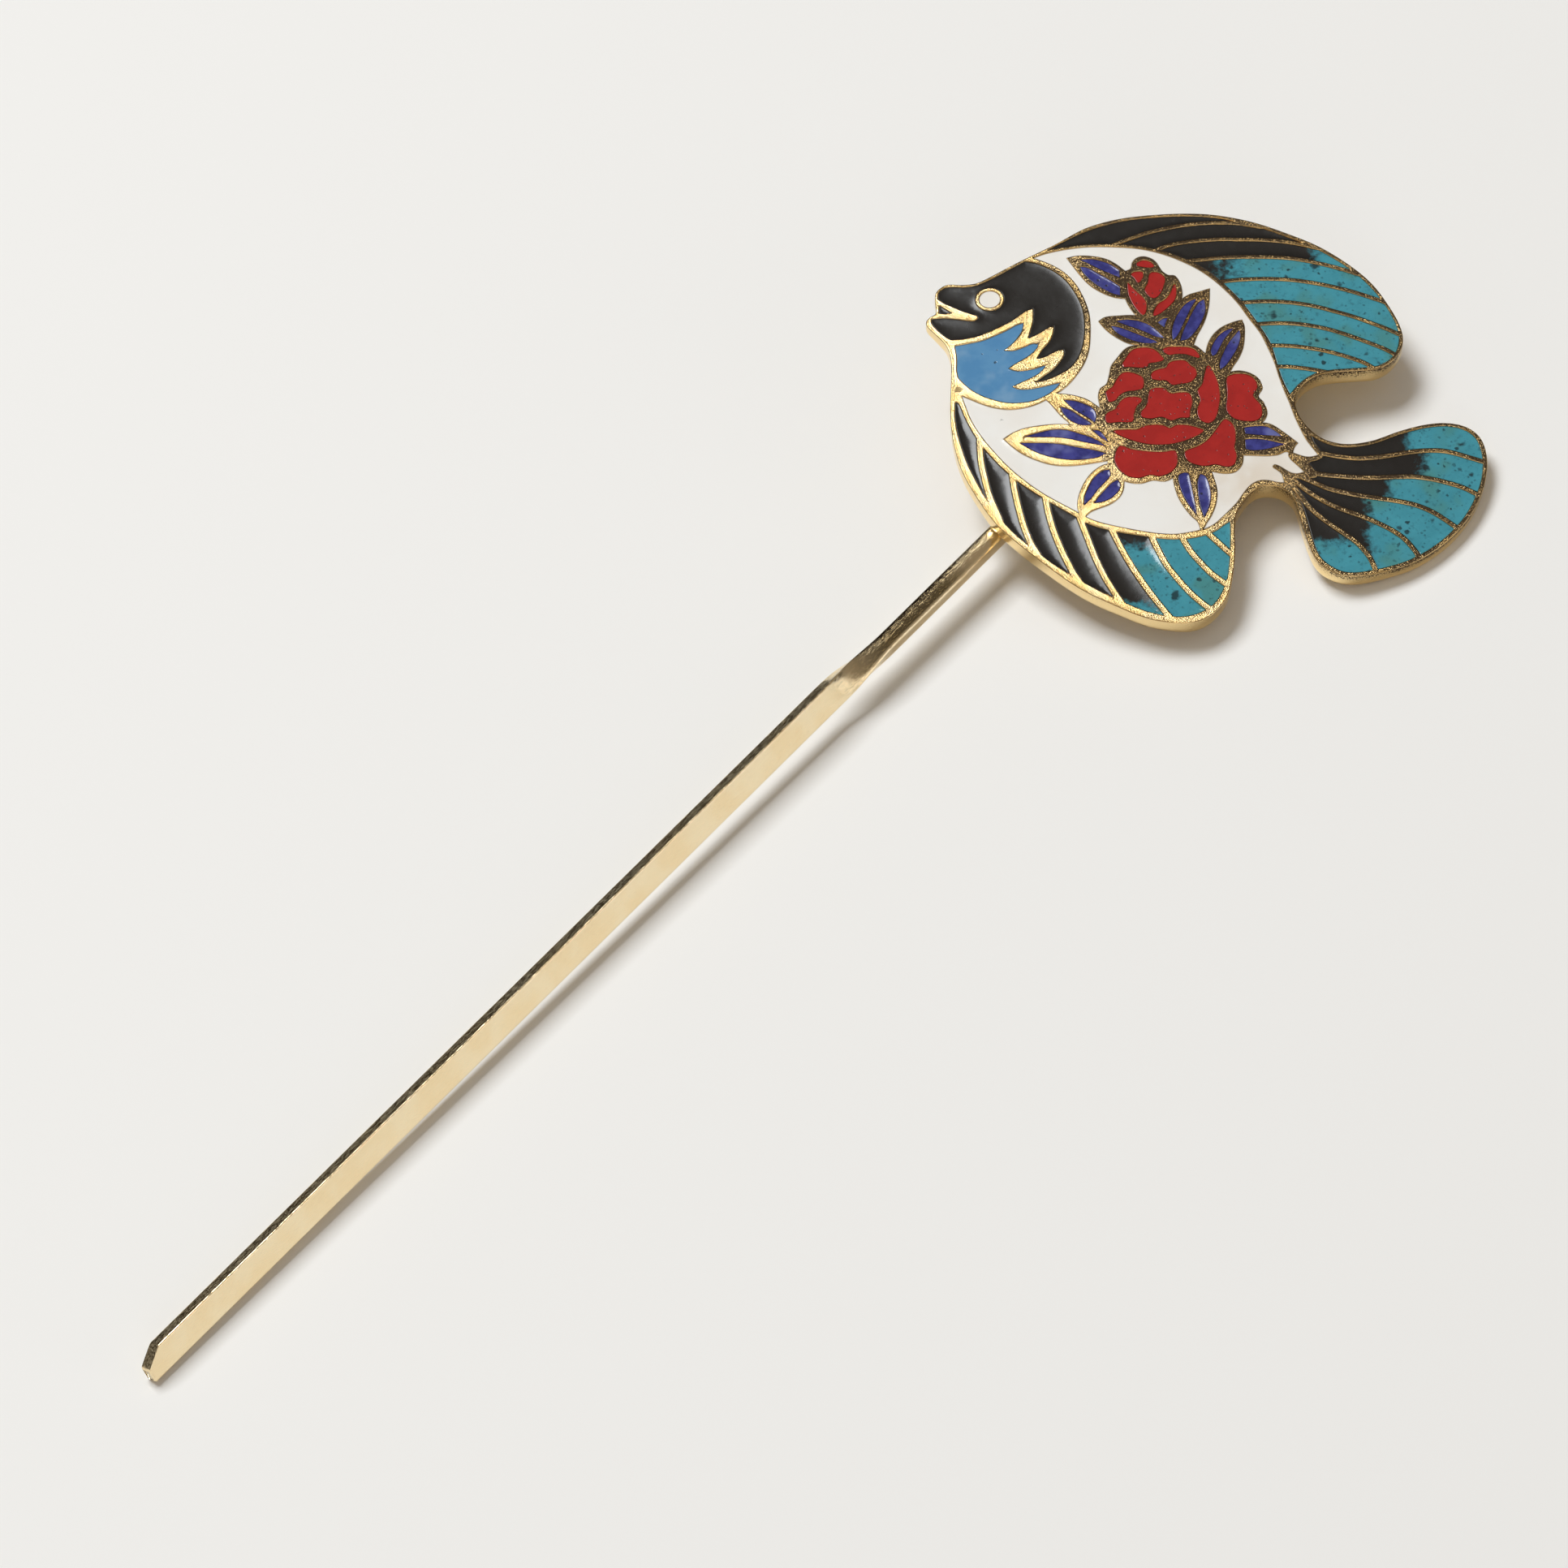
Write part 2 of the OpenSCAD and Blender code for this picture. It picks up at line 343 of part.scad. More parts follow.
CHEEK_CELL = [
    [[-15.75, 5.5], [-14.9, 5.65], [-14.0, 5.85], [-13.2, 6.2], [-12.4, 6.62], [-11.8, 7.0],
        [-11.3, 7.2]],
    [[-11.3, 7.2], [-11.4, 6.6], [-11.75, 5.95], [-12.15, 5.45], [-12.6, 5.03]],
    [[-12.6, 5.03], [-12.0, 4.98], [-11.4, 5.2], [-10.8, 5.48], [-10.35, 5.52]],
    [[-10.35, 5.52], [-10.5, 5.1], [-10.95, 4.6], [-11.5, 4.2], [-12.05, 3.82],
        [-12.32, 3.58]],
    [[-12.32, 3.58], [-11.85, 3.36], [-11.1, 3.4], [-10.5, 3.55], [-9.88, 3.78]],
    [[-9.88, 3.78], [-10.3, 3.2], [-10.9, 2.78], [-11.6, 2.42], [-12.1, 2.14]],
    [[-12.1, 2.14], [-11.7, 1.92], [-11.0, 1.9], [-10.2, 2.05], [-9.6, 2.2], [-9.0, 2.35]],
    [[-9.0, 2.35], [-9.35, 1.88], [-9.9, 1.42], [-10.7, 1.02], [-11.6, 0.86], [-12.5, 0.9],
        [-13.4, 1.18], [-14.2, 1.58], [-14.95, 2.2], [-15.55, 2.95]],
    [[-15.55, 2.95], [-15.64, 3.6], [-15.62, 4.5], [-15.75, 5.5]]
];

ROSE_CELLS = [
    [[-3.8, 5.05], [-4.33, 4.87], [-4.69, 4.33], [-5.02, 3.6], [-4.45, 3.52], [-3.74, 3.46],
        [-3.4, 3.52], [-3.26, 3.8], [-2.79, 3.88], [-2.3, 4.08], [-2.49, 4.45], [-2.85, 4.87],
        [-3.32, 5.05]],
    [[-2.37, 4.87], [-2.01, 5.09], [-1.36, 5.11], [-0.76, 5.07], [-0.29, 4.87], [0.0, 4.45],
        [-0.05, 4.22], [-0.4, 4.33], [-0.88, 4.51], [-1.48, 4.53], [-2.01, 4.47]],
    [[-3.14, 2.6], [-3.08, 3.08], [-2.67, 3.32], [-2.19, 3.46], [-1.95, 3.86], [-1.36, 4.04],
        [-0.88, 3.98], [-0.58, 3.62], [-0.25, 3.32], [-0.25, 2.79], [-0.64, 2.31],
        [-1.36, 2.15], [-1.83, 2.09], [-2.19, 2.43], [-2.67, 2.45]],
    [[-6.06, 1.24], [-6.1, 1.6], [-5.64, 2.01], [-5.38, 2.55], [-5.05, 3.02], [-4.57, 3.12],
        [-3.98, 2.9], [-3.66, 2.6], [-3.7, 1.87], [-4.1, 1.68], [-4.81, 1.57], [-5.27, 1.24],
        [-5.5, 0.9], [-5.92, 0.8]],
    [[-6.2, -0.55], [-6.06, -0.07], [-5.52, 0.23], [-5.23, 0.76], [-4.81, 1.12], [-4.1, 1.16],
        [-3.78, 0.88], [-4.15, 0.4], [-4.33, -0.19], [-4.45, -0.77], [-5.4, -0.8],
        [-6.0, -0.86]],
    [[-3.84, -0.4], [-3.86, 0.0], [-3.5, 0.52], [-3.38, 1.24], [-3.24, 1.71], [-2.79, 1.87],
        [-2.31, 1.79], [-1.95, 1.42], [-1.36, 1.48], [-0.74, 1.42], [-0.55, 0.76],
        [-0.72, 0.05], [-0.78, -0.46], [-1.36, -0.49], [-1.95, -0.7], [-2.55, -0.43],
        [-3.26, -0.55]],
    [[0.55, 3.65], [0.31, 3.02], [0.13, 2.19], [-0.2, 1.6], [-0.05, 0.88], [-0.27, 0.05],
        [-0.11, -0.62], [0.43, -0.92], [0.88, -0.55], [1.12, 0.29], [1.24, 1.24], [1.15, 2.19],
        [0.9, 3.02]],
    [[-5.68, -1.5], [-5.05, -1.38], [-4.15, -1.38], [-3.74, -1.14], [-3.02, -1.02],
        [-2.43, -1.1], [-2.05, -1.3], [-1.6, -1.05], [-0.88, -1.08], [-0.17, -1.32],
        [0.12, -1.5], [-0.29, -1.86], [-1.12, -2.27], [-2.07, -2.53], [-3.14, -2.56],
        [-4.1, -2.36], [-5.05, -1.96]],
    [[1.7, 2.55], [1.98, 2.86], [2.57, 2.98], [3.17, 2.84], [3.56, 2.46], [3.66, 1.89],
        [3.38, 1.36], [3.5, 1.0], [3.84, 0.52], [3.9, -0.19], [3.62, -0.63], [3.05, -0.76],
        [2.21, -0.6], [1.76, -0.19], [1.6, 0.29], [1.7, 1.24]],
    [[1.44, -0.62], [1.86, -0.82], [2.13, -1.38], [2.13, -2.21], [2.05, -2.81], [2.17, -3.4],
        [2.0, -4.08], [1.5, -4.28], [0.79, -4.1], [0.07, -4.22], [-0.76, -3.98],
        [-1.14, -3.52], [-1.08, -3.05], [-0.4, -2.75], [0.31, -2.23], [0.9, -1.42]],
    [[-5.25, -2.62], [-5.54, -3.05], [-5.66, -3.76], [-5.38, -4.45], [-4.81, -4.97],
        [-4.1, -5.1], [-3.38, -4.88], [-2.79, -4.99], [-2.1, -4.7], [-1.68, -4.12],
        [-1.62, -3.52], [-1.8, -3.03], [-2.55, -3.13], [-3.5, -3.08], [-4.57, -2.9]]
];

BUD_CELLS = [
    [[-3.86, 11.76], [-3.81, 12.0], [-3.38, 12.18], [-2.92, 12.0], [-2.72, 11.64],
        [-3.14, 11.56], [-3.62, 11.66]],
    [[-4.25, 11.0], [-3.98, 11.22], [-3.5, 11.2], [-3.46, 10.82], [-3.68, 10.4],
        [-3.86, 10.34], [-4.04, 10.7]],
    [[-3.06, 11.0], [-2.83, 11.19], [-2.39, 11.1], [-2.05, 10.7], [-2.15, 10.05],
        [-2.39, 9.42], [-2.7, 9.08], [-3.06, 9.14], [-3.4, 9.69], [-3.18, 10.29]],
    [[-4.48, 10.35], [-4.2, 9.95], [-3.88, 9.55], [-3.48, 9.08], [-3.3, 8.6], [-3.36, 7.95],
        [-3.58, 7.68], [-3.96, 8.15], [-4.3, 8.86], [-4.48, 9.57]],
    [[-1.45, 10.2], [-1.33, 9.69], [-1.43, 9.0], [-1.83, 8.4], [-2.4, 7.83], [-2.86, 7.6],
        [-2.83, 8.0], [-2.53, 8.6], [-2.07, 8.95], [-1.72, 9.5]]
];

// Each leaf is two halves on either side of its midrib; the third and the fifth have a chip
// of blue beside them.
LEAF_CELLS = [
    [
        [[[-7.5, 12.28], [-6.8, 12.32], [-6.1, 12.12], [-5.5, 11.82], [-5.0, 11.4]],
            [[-5.0, 11.4], [-4.98, 10.78]],
            [[-4.98, 10.78], [-5.5, 11.05], [-6.2, 11.45], [-6.85, 11.88], [-7.5, 12.28]]],
        [[[-7.55, 11.7], [-7.1, 11.62], [-6.5, 11.22], [-5.9, 10.78], [-5.4, 10.4],
                [-4.98, 10.02]],
            [[-4.98, 10.02], [-4.98, 9.3]],
            [[-4.98, 9.3], [-5.5, 9.48], [-6.2, 9.95], [-6.8, 10.5], [-7.3, 11.15],
                [-7.55, 11.7]]]
    ],
    [
        [[[-5.3, 7.22], [-4.6, 7.32], [-3.8, 7.18], [-3.1, 6.82], [-2.6, 6.32], [-2.2, 5.8]],
            [[-2.2, 5.8], [-2.8, 5.95], [-3.4, 6.3], [-4.0, 6.6], [-4.7, 6.9], [-5.3, 7.22]]],
        [[[-5.65, 6.85], [-5.0, 6.65], [-4.3, 6.32], [-3.5, 5.92], [-2.95, 5.68],
                [-2.65, 5.45]],
            [[-2.65, 5.45], [-3.3, 5.4], [-4.0, 5.54], [-4.8, 5.92], [-5.35, 6.36],
                [-5.65, 6.85]]]
    ],
    [
        [[[-0.02, 9.0], [-0.5, 8.8], [-0.95, 8.35], [-1.35, 7.65], [-1.62, 6.9],
                [-1.72, 6.1], [-1.66, 5.65]],
            [[-1.66, 5.65], [-1.35, 6.05], [-1.05, 6.75], [-0.68, 7.65], [-0.35, 8.4],
                [-0.02, 9.0]]],
        [[[0.45, 8.98], [0.1, 8.7], [-0.25, 8.1], [-0.65, 7.2], [-1.0, 6.3], [-1.2, 5.6]],
            [[-1.2, 5.6], [-0.7, 5.75], [-0.2, 6.35], [0.22, 7.15], [0.5, 8.05],
                [0.45, 8.98]]],
        [[[-2.62, 7.08], [-2.3, 7.35], [-1.95, 7.45]],
            [[-1.95, 7.45], [-2.12, 7.0], [-2.18, 6.68]],
            [[-2.18, 6.68], [-2.4, 6.86], [-2.62, 7.08]]]
    ],
    [
        [[[2.3, 6.62], [1.8, 6.45], [1.3, 6.0], [0.92, 5.35], [0.75, 4.75], [0.85, 4.38]],
            [[0.85, 4.38], [1.1, 4.55], [1.35, 5.1], [1.7, 5.8], [2.3, 6.62]]],
        [[[2.66, 6.5], [2.3, 6.0], [1.9, 5.4], [1.55, 4.6], [1.3, 3.8], [1.32, 3.3]],
            [[1.32, 3.3], [1.7, 3.65], [2.1, 4.3], [2.5, 5.1], [2.7, 5.9], [2.66, 6.5]]]
    ],
    [
        [[[-8.8, 1.0], [-8.1, 0.9], [-7.4, 0.6], [-6.95, 0.3], [-6.75, -0.2],
                [-6.85, -0.8]],
            [[-6.85, -0.8], [-7.2, -0.46], [-7.7, -0.1], [-8.25, 0.35], [-8.8, 1.0]]],
        [[[-9.05, 0.48], [-8.4, 0.18], [-7.8, -0.3], [-7.3, -0.66], [-7.05, -0.95]],
            [[-7.05, -0.95], [-7.5, -1.0], [-8.0, -0.88], [-8.5, -0.5], [-8.88, 0.0],
                [-9.05, 0.48]]],
        [[[-7.0, -1.4], [-6.6, -1.46], [-6.25, -1.84], [-6.05, -2.3]],
            [[-6.05, -2.3], [-6.5, -1.95], [-7.0, -1.4]]]
    ],
    [
        [[[-11.4, -1.8], [-10.4, -1.5], [-9.5, -1.3], [-8.6, -1.38], [-7.8, -1.68],
                [-7.2, -1.92], [-6.7, -2.2], [-6.2, -2.65]],
            [[-6.2, -2.65], [-6.8, -2.48], [-7.6, -2.28], [-8.5, -2.02], [-9.5, -1.87],
                [-10.5, -1.84], [-11.4, -1.8]]],
        [[[-11.68, -2.27], [-10.8, -2.3], [-9.9, -2.34], [-9.0, -2.46], [-8.0, -2.7],
                [-7.1, -2.9], [-6.2, -3.2]],
            [[-6.2, -3.2], [-6.8, -3.5], [-7.8, -3.64], [-8.6, -3.62], [-9.5, -3.45],
                [-10.4, -3.12], [-11.1, -2.7], [-11.68, -2.27]]]
    ],
    [
        [[[-6.0, -4.46], [-6.45, -4.55], [-6.95, -5.0], [-7.35, -5.75], [-7.62, -6.5],
                [-7.66, -7.08]],
            [[-7.66, -7.08], [-7.25, -6.65], [-6.8, -5.98], [-6.3, -5.38], [-5.95, -4.9],
                [-6.0, -4.46]]],
        [[[-5.5, -5.22], [-5.95, -5.55], [-6.4, -6.1], [-6.75, -6.55], [-7.0, -6.98]],
            [[-7.0, -6.98], [-6.45, -6.86], [-5.88, -6.56], [-5.45, -6.05], [-5.32, -5.6],
                [-5.5, -5.22]]]
    ],
    [
        [[[-1.25, -4.72], [-1.6, -4.95], [-1.56, -5.6], [-1.35, -6.4], [-1.0, -7.15],
                [-0.52, -7.9]],
            [[-0.52, -7.9], [-0.56, -7.2], [-0.7, -6.25], [-0.84, -5.35], [-0.95, -4.8],
                [-1.25, -4.72]]],
        [[[-0.2, -4.82], [-0.38, -5.35], [-0.38, -6.25], [-0.28, -7.2], [-0.05, -8.1]],
            [[-0.05, -8.1], [0.25, -7.45], [0.42, -6.6], [0.37, -5.8], [0.15, -5.05],
                [-0.2, -4.82]]]
    ],
    [
        [[[2.72, -1.26], [3.3, -1.16], [4.05, -1.14], [4.6, -1.42], [5.15, -1.92]],
            [[5.15, -1.92], [4.4, -1.86], [3.5, -1.8], [2.76, -1.72]],
            [[2.76, -1.72], [2.72, -1.26]]],
        [[[2.74, -2.18], [3.3, -2.12], [4.1, -2.2], [4.8, -2.38], [5.3, -2.5]],
            [[5.3, -2.5], [4.6, -2.75], [3.9, -2.94], [3.2, -3.0], [2.76, -2.9]],
            [[2.76, -2.9], [2.74, -2.18]]]
    ]
];

// ---- Plan shapes ------------------------------------------------------------------------------

module fish_plan() polygon(ring(FISH_EDGE));

module field(edges) polygon(outline(edges));

// Everything between two neighbouring rays of a fin, inside its field. A fin's rays run outwards
// and are counted from its left as seen along them; the first and last cells are open on one
// side.
module fin_cell(edges, rays, wall, k) {
    far = 40;
    last = len(rays);
    lower = k == 0 ? [] : beside(rays[k - 1], -wall / 2);
    upper = k == last ? [] : beside(rays[k], wall / 2);
    difference() {
        field(edges);
        if (k > 0) polygon(concat(lower, away(lower, far)));
        if (k < last) polygon(concat(upper, away(upper, -far)));
    }
}

// The far side of a half-plane that is bounded by curve c: d is positive for its left.
function away(c, d) = let (
    a = c[0],
    b = c[len(c) - 1],
    t = unit(b - a),
    side = d * [-t[1], t[0]],
    run = abs(d) * t
) [b + run, b + run + side, a - run + side, a - run];

module dorsal_plan(i) fin_cell(DORSAL_FIELD, DORSAL_RAYS, dorsal_wall, i - 1);
module belly_plan(i) fin_cell(BELLY_FIELD, BELLY_RAYS, belly_wall, i - 1);
module tail_plan(i) fin_cell(TAIL_FIELD, TAIL_RAYS, tail_wall, i - 1);

module leaf_plan(i) for (half = LEAF_CELLS[i - 1]) polygon(outline(half));
module rose_plan(i) polygon(ring(ROSE_CELLS[i - 1]));
module bud_plan(i) polygon(ring(BUD_CELLS[i - 1]));
module eye_plan() translate(EYE) circle(r = eye_r, $fn = 48);

module head_plan() {
    difference() {
        field(HEAD_CELL);
        translate(EYE) circle(r = eye_ring_r, $fn = 48);
    }
    polygon(MOUTH_CELL);
}

module cheek_plan() field(CHEEK_CELL);

module spray_plan() {
    polygon(ring(ROSE_EDGE));
    polygon(ring(BUD_EDGE));
    for (web = SPRAY_WEBS) polygon(web);
    for (leaf = LEAF_EDGES) polygon(outline(leaf));
}

// The white ground round the flower spray falls into four parts; each is picked by an area
// whose borders run along the leaves that divide it.
WHITE_AREAS = [
    [[-9.8, 1.2], [-6.5, -0.6], [0, -1], [3.5, -1.9], [5.66, -2.4], [5.62, -3.25],
        [6.5, -3.8], [9, -3.9], [9, 15], [-12, 15], [-12, 3]],
    [[-20, 3], [-12, 3], [-9.8, 1.2], [-6.5, -0.6], [-6, -4.6], [-7.85, -8.25], [-20, -8.25]],
    [[-7.85, -10], [-7.85, -8.25], [-6, -4.6], [-3, -3], [-0.9, -4.5], [-0.4, -7],
        [-0.25, -8.8], [-0.25, -10]],
    [[-0.9, -4.5], [2, -3], [3.5, -1.9], [5.66, -2.6], [5.62, -3.25], [6.5, -3.8],
        [9, -3.9], [9, -10], [-0.25, -10], [-0.25, -8.8], [-0.4, -7]]
];

module white_plan(i) intersection() {
    difference() {
        field(BODY_FIELD);
        spray_plan();
    }
    polygon(WHITE_AREAS[i - 1]);
}

module all_cells_plan() {
    head_plan();
    eye_plan();
    cheek_plan();
    difference() {
        field(BODY_FIELD);
        spray_plan();
    }
    for (i = [1:11]) rose_plan(i);
    for (i = [1:5]) bud_plan(i);
    for (i = [1:9]) {
        leaf_plan(i);
        dorsal_plan(i);
        belly_plan(i);
    }
    for (i = [1:6]) tail_plan(i);
}

// ---- Solids -----------------------------------------------------------------------------------

// Puts the fish's plan into the pin's frame.
module on_pin() rotate([0, 0, -stem_angle]) translate([-FISH_AT[0], -FISH_AT[1], 0]) children();

// The domed face: everything below a shallow turned cap, lowered by sink.
module under_dome(sink = 0) intersection() {
    children();
    translate([0, 0, Z_TOP - sink]) rotate_extrude($fn = 180) polygon(concat(
        [[0, -DOME_DEPTH], [0, 0]],
        [for (i = [1:DOME_STEPS]) let (r = DOME_PLAN_R * i / DOME_STEPS) [r, -dome_fall(r)]],
        [[DOME_PLAN_R, -DOME_DEPTH]]
    ));
}

// How far a sphere of the dome's radius falls away at plan distance r from its top.
function dome_fall(r) = dome_radius - sqrt(dome_radius * dome_radius - r * r);

module fill(plan_height = 2) {
    on_pin() under_dome(enamel_recess)
        translate([0, 0, Z_FLOOR]) linear_extrude(plan_height) children();
}

module fish_plate() color(GOLD) on_pin() {
    translate([0, 0, Z_BACK]) linear_extrude(floor_thickness) fish_plan();
    under_dome() translate([0, 0, Z_FLOOR]) linear_extrude(2) difference() {
        fish_plan();
        all_cells_plan();
    }
}

module head_enamel() color(BLACK) fill() head_plan();
module eye_enamel() color(WHITE) fill() eye_plan();
module cheek_enamel() color(SKY) fill() cheek_plan();
module body_white(i) color(WHITE) fill() white_plan(i);
module rose_petal(i) color(RED) fill() rose_plan(i);
module bud_petal(i) color(RED) fill() bud_plan(i);
module leaf(i) color(COBALT) fill() leaf_plan(i);
module dorsal_cell(i) color(i < 4 ? BLACK : TEAL) fill() dorsal_plan(i);
module belly_cell(i) color(i > 3 ? BLACK : TEAL) fill() belly_plan(i);
module tail_cell(i) color(TEAL) fill() tail_plan(i);

// Stands a section drawn in (Y, Z) up along X, from x0 over the length run.
module along(x0, run) translate([x0, 0, 0]) rotate([90, 0, 90]) linear_extrude(run) children();

// Squared wire with a crowned upper side, which touches the plate's back along its middle.
module shank_section() intersection() {
    square([shank_w, shank_h], center = true);
    translate([0, shank_h / 2 - crown_r]) circle(r = crown_r, $fn = 96);
}

module blade_section() translate([blade_shift, 0]) rotate(blade_turn)
    square([blade_w, blade_t], center = true);

// The blade seen square to its wide face, with one corner of its tip cut off.
module blade_plan(from_x, to_x) polygon([
    [from_x, -blade_w / 2], [to_x, -blade_w / 2], [to_x, blade_w / 2],
    [from_x + tip_chamfer, blade_w / 2], [from_x, blade_w / 2 - tip_chamfer * tan(TIP_ANGLE)]
]);

module stem() color(GOLD) {
    slice = 0.01;
    kink_start = -shank_len;
    blade_start = kink_start - kink_len;
    along(kink_start, shank_len + stem_under) shank_section();
    hull() {
        along(kink_start - slice, slice) shank_section();
        along(blade_start, slice) blade_section();
    }
    translate([0, blade_shift, 0]) rotate([blade_turn, 0, 0]) translate([0, 0, -blade_t / 2])
        linear_extrude(blade_t) blade_plan(-reach, blade_start);
}

// Concave fillets of solder along both sides of the wire, under the plate.
module solder_joint() color(GOLD) for (side = [-1, 1]) difference() {
    translate([0.8, side * (shank_w + fillet_r) / 2 - fillet_r / 2, Z_BACK - fillet_r])
        cube([fillet_len, fillet_r, fillet_r]);
    translate([0, side * (shank_w / 2 + fillet_r), Z_BACK - fillet_r])
        rotate([0, 90, 0]) cylinder(r = fillet_r, h = 3 * fillet_len, center = true, $fn = 64);
}

fish_plate();
stem();
solder_joint();
head_enamel();
eye_enamel();
cheek_enamel();
body_white(1);  // body_white_top
body_white(2);  // body_white_left
body_white(3);  // body_white_bottom
body_white(4);  // body_white_right
for (i = [1:11]) rose_petal(i);
for (i = [1:5]) bud_petal(i);
for (i = [1:9]) leaf(i);
for (i = [1:9]) dorsal_cell(i);
for (i = [1:9]) belly_cell(i);
for (i = [1:6]) tail_cell(i);
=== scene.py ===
"""Enamelled fish hat pin: a gilt plate with fired enamel cells, soldered to a gilt wire stem.

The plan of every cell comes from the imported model: the flat floor of each enamel node gives the
cell's outline, and the plate's flat back gives the fish's outline. The visible surfaces are then
worked out from those outlines, in millimetres, and put into meshes in metres.
"""

import json
from itertools import chain

import bpy
import numpy as np
from mathutils import Matrix, Vector
from mathutils.geometry import delaunay_2d_cdt


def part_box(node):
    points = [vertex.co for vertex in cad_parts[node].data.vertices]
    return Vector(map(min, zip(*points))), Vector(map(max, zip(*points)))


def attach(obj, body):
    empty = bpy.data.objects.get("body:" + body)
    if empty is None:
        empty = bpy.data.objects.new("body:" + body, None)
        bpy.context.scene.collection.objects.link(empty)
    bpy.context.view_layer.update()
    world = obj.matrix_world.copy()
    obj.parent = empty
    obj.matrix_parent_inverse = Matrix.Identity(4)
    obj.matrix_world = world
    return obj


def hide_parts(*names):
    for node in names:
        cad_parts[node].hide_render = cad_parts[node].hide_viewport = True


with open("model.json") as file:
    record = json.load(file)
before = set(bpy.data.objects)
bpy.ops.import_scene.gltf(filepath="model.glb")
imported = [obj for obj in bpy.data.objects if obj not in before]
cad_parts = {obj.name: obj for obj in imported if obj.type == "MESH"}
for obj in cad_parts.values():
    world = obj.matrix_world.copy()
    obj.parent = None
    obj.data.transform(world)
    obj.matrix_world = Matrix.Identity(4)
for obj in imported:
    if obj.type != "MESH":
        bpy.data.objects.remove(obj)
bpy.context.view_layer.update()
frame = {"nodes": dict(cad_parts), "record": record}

MM = 0.001
ENAMEL_OF = {
    row["node"]: row["material_slot"]
    for row in frame["record"]["subparts"]
    if row["material_slot"].endswith("_enamel")
}

# The fish's own plan, in which its length runs along a and its back is towards b, is turned from
# the stem's direction by this angle about the point where the stem passes the rim.
FISH_TURN = np.radians(49.4)
FISH_AT = np.array([-13.43, -8.3])

Z_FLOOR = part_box("head_enamel")[0].z / MM
Z_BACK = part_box("fish_plate")[0].z / MM
PLATE_HEIGHT = 1.0              # from the flat back to the rim's top
Z_RIM = Z_BACK + PLATE_HEIGHT
DOME_RADIUS = 250.0
DOME_REACH = 19.0

SHOULDER_WIDTH = 0.055          # rounding of a wall's top edge, across
SHOULDER_DROP = 0.05            # and down
GROOVE_DEPTH = 0.014            # hollow along the middle of a struck wall
GROOVE_FROM, GROOVE_TO = 0.05, 0.13
ENAMEL_DROP = 0.058             # enamel's edge below the dome
PLAIN_EDGE = 0.3                # edge distance that marks the plate's unstruck faces
OUTLINE_STEP = 0.14
RIM_STEP = 0.12
RIM_INSET = 0.008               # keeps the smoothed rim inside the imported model's
WALL_RINGS = (0.018, 0.045, 0.085, 0.13)
CELL_RINGS = (0.045, 0.11, 0.22, 0.4)
RING_CLEAR = 0.8                # share of its own distance that a ring point keeps from any wall
INNER_STEP = 0.55
INNER_CLEAR = 0.5
SAME_PLACE = 1e-4


# ---- Plan: outlines, distances, triangles ------------------------------------------------------


def to_fish(p):
    """The fish's (a, b) of points (x, y): turned by FISH_TURN, then moved to FISH_AT."""
    c, s = np.cos(FISH_TURN), np.sin(FISH_TURN)
    return np.stack([c * p[:, 0] - s * p[:, 1], s * p[:, 0] + c * p[:, 1]], 1) + FISH_AT


def from_fish(a, b, z):
    """A direction or offset given as (a, b, z) in the fish's plan, in the pin's frame."""
    c, s = np.cos(FISH_TURN), np.sin(FISH_TURN)
    return Vector((c * a + s * b, -s * a + c * b, z))


def dome(p):
    """Height of the domed face: a sphere's cap above the fish's middle, down to the rim's height
    at DOME_REACH."""
    fall = DOME_RADIUS - np.sqrt(DOME_RADIUS**2 - (to_fish(p) ** 2).sum(1))
    top = Z_RIM + DOME_RADIUS - np.sqrt(DOME_RADIUS**2 - DOME_REACH**2)
    return top - fall


def plan_loops(node, level):
    """Closed outlines of a node's flat face at a height: edges that only one triangle uses.
    Each point knows the next, and the known stretch of a loop doubles until it closes."""
    mesh = frame["nodes"][node].data
    co = np.empty(len(mesh.vertices) * 3, np.float32)
    mesh.vertices.foreach_get("co", co)
    mesh.calc_loop_triangles()
    tri = np.empty(len(mesh.loop_triangles) * 3, np.int32)
    mesh.loop_triangles.foreach_get("vertices", tri)
    points, same = np.unique(
        np.round(co.reshape(-1, 3) / MM, 3), axis=0, return_inverse=True
    )
    tri = same.ravel()[tri].reshape(-1, 3)
    tri = tri[np.all(np.abs(points[tri, 2] - level) < 0.002, axis=1)]
    edges = np.concatenate([tri[:, [0, 1]], tri[:, [1, 2]], tri[:, [2, 0]]])
    n = len(points)
    forward, back = edges[:, 0] * n + edges[:, 1], edges[:, 1] * n + edges[:, 0]
    edges = edges[~np.isin(forward, back)]
    following = np.arange(n)
    following[edges[:, 0]] = edges[:, 1]
    left = np.zeros(n, bool)
    left[edges[:, 0]] = True
    loops = []
    while left.any():
        start = int(np.argmax(left))
        walked, hop = np.array([start]), following
        while len(walked) <= left.sum():
            walked = np.concatenate([walked, hop[walked]])
            hop = hop[hop]
        closed = np.flatnonzero(walked[1:] == start)[0] + 1
        walked = walked[:closed]
        left[walked] = False
        loops.append(points[walked, :2])
    return loops


def signed_area(loop):
    """The area inside a closed loop, negative if it runs clockwise."""
    nxt = np.roll(loop, -1, 0)
    return 0.5 * float((loop[:, 0] * nxt[:, 1] - nxt[:, 0] * loop[:, 1]).sum())


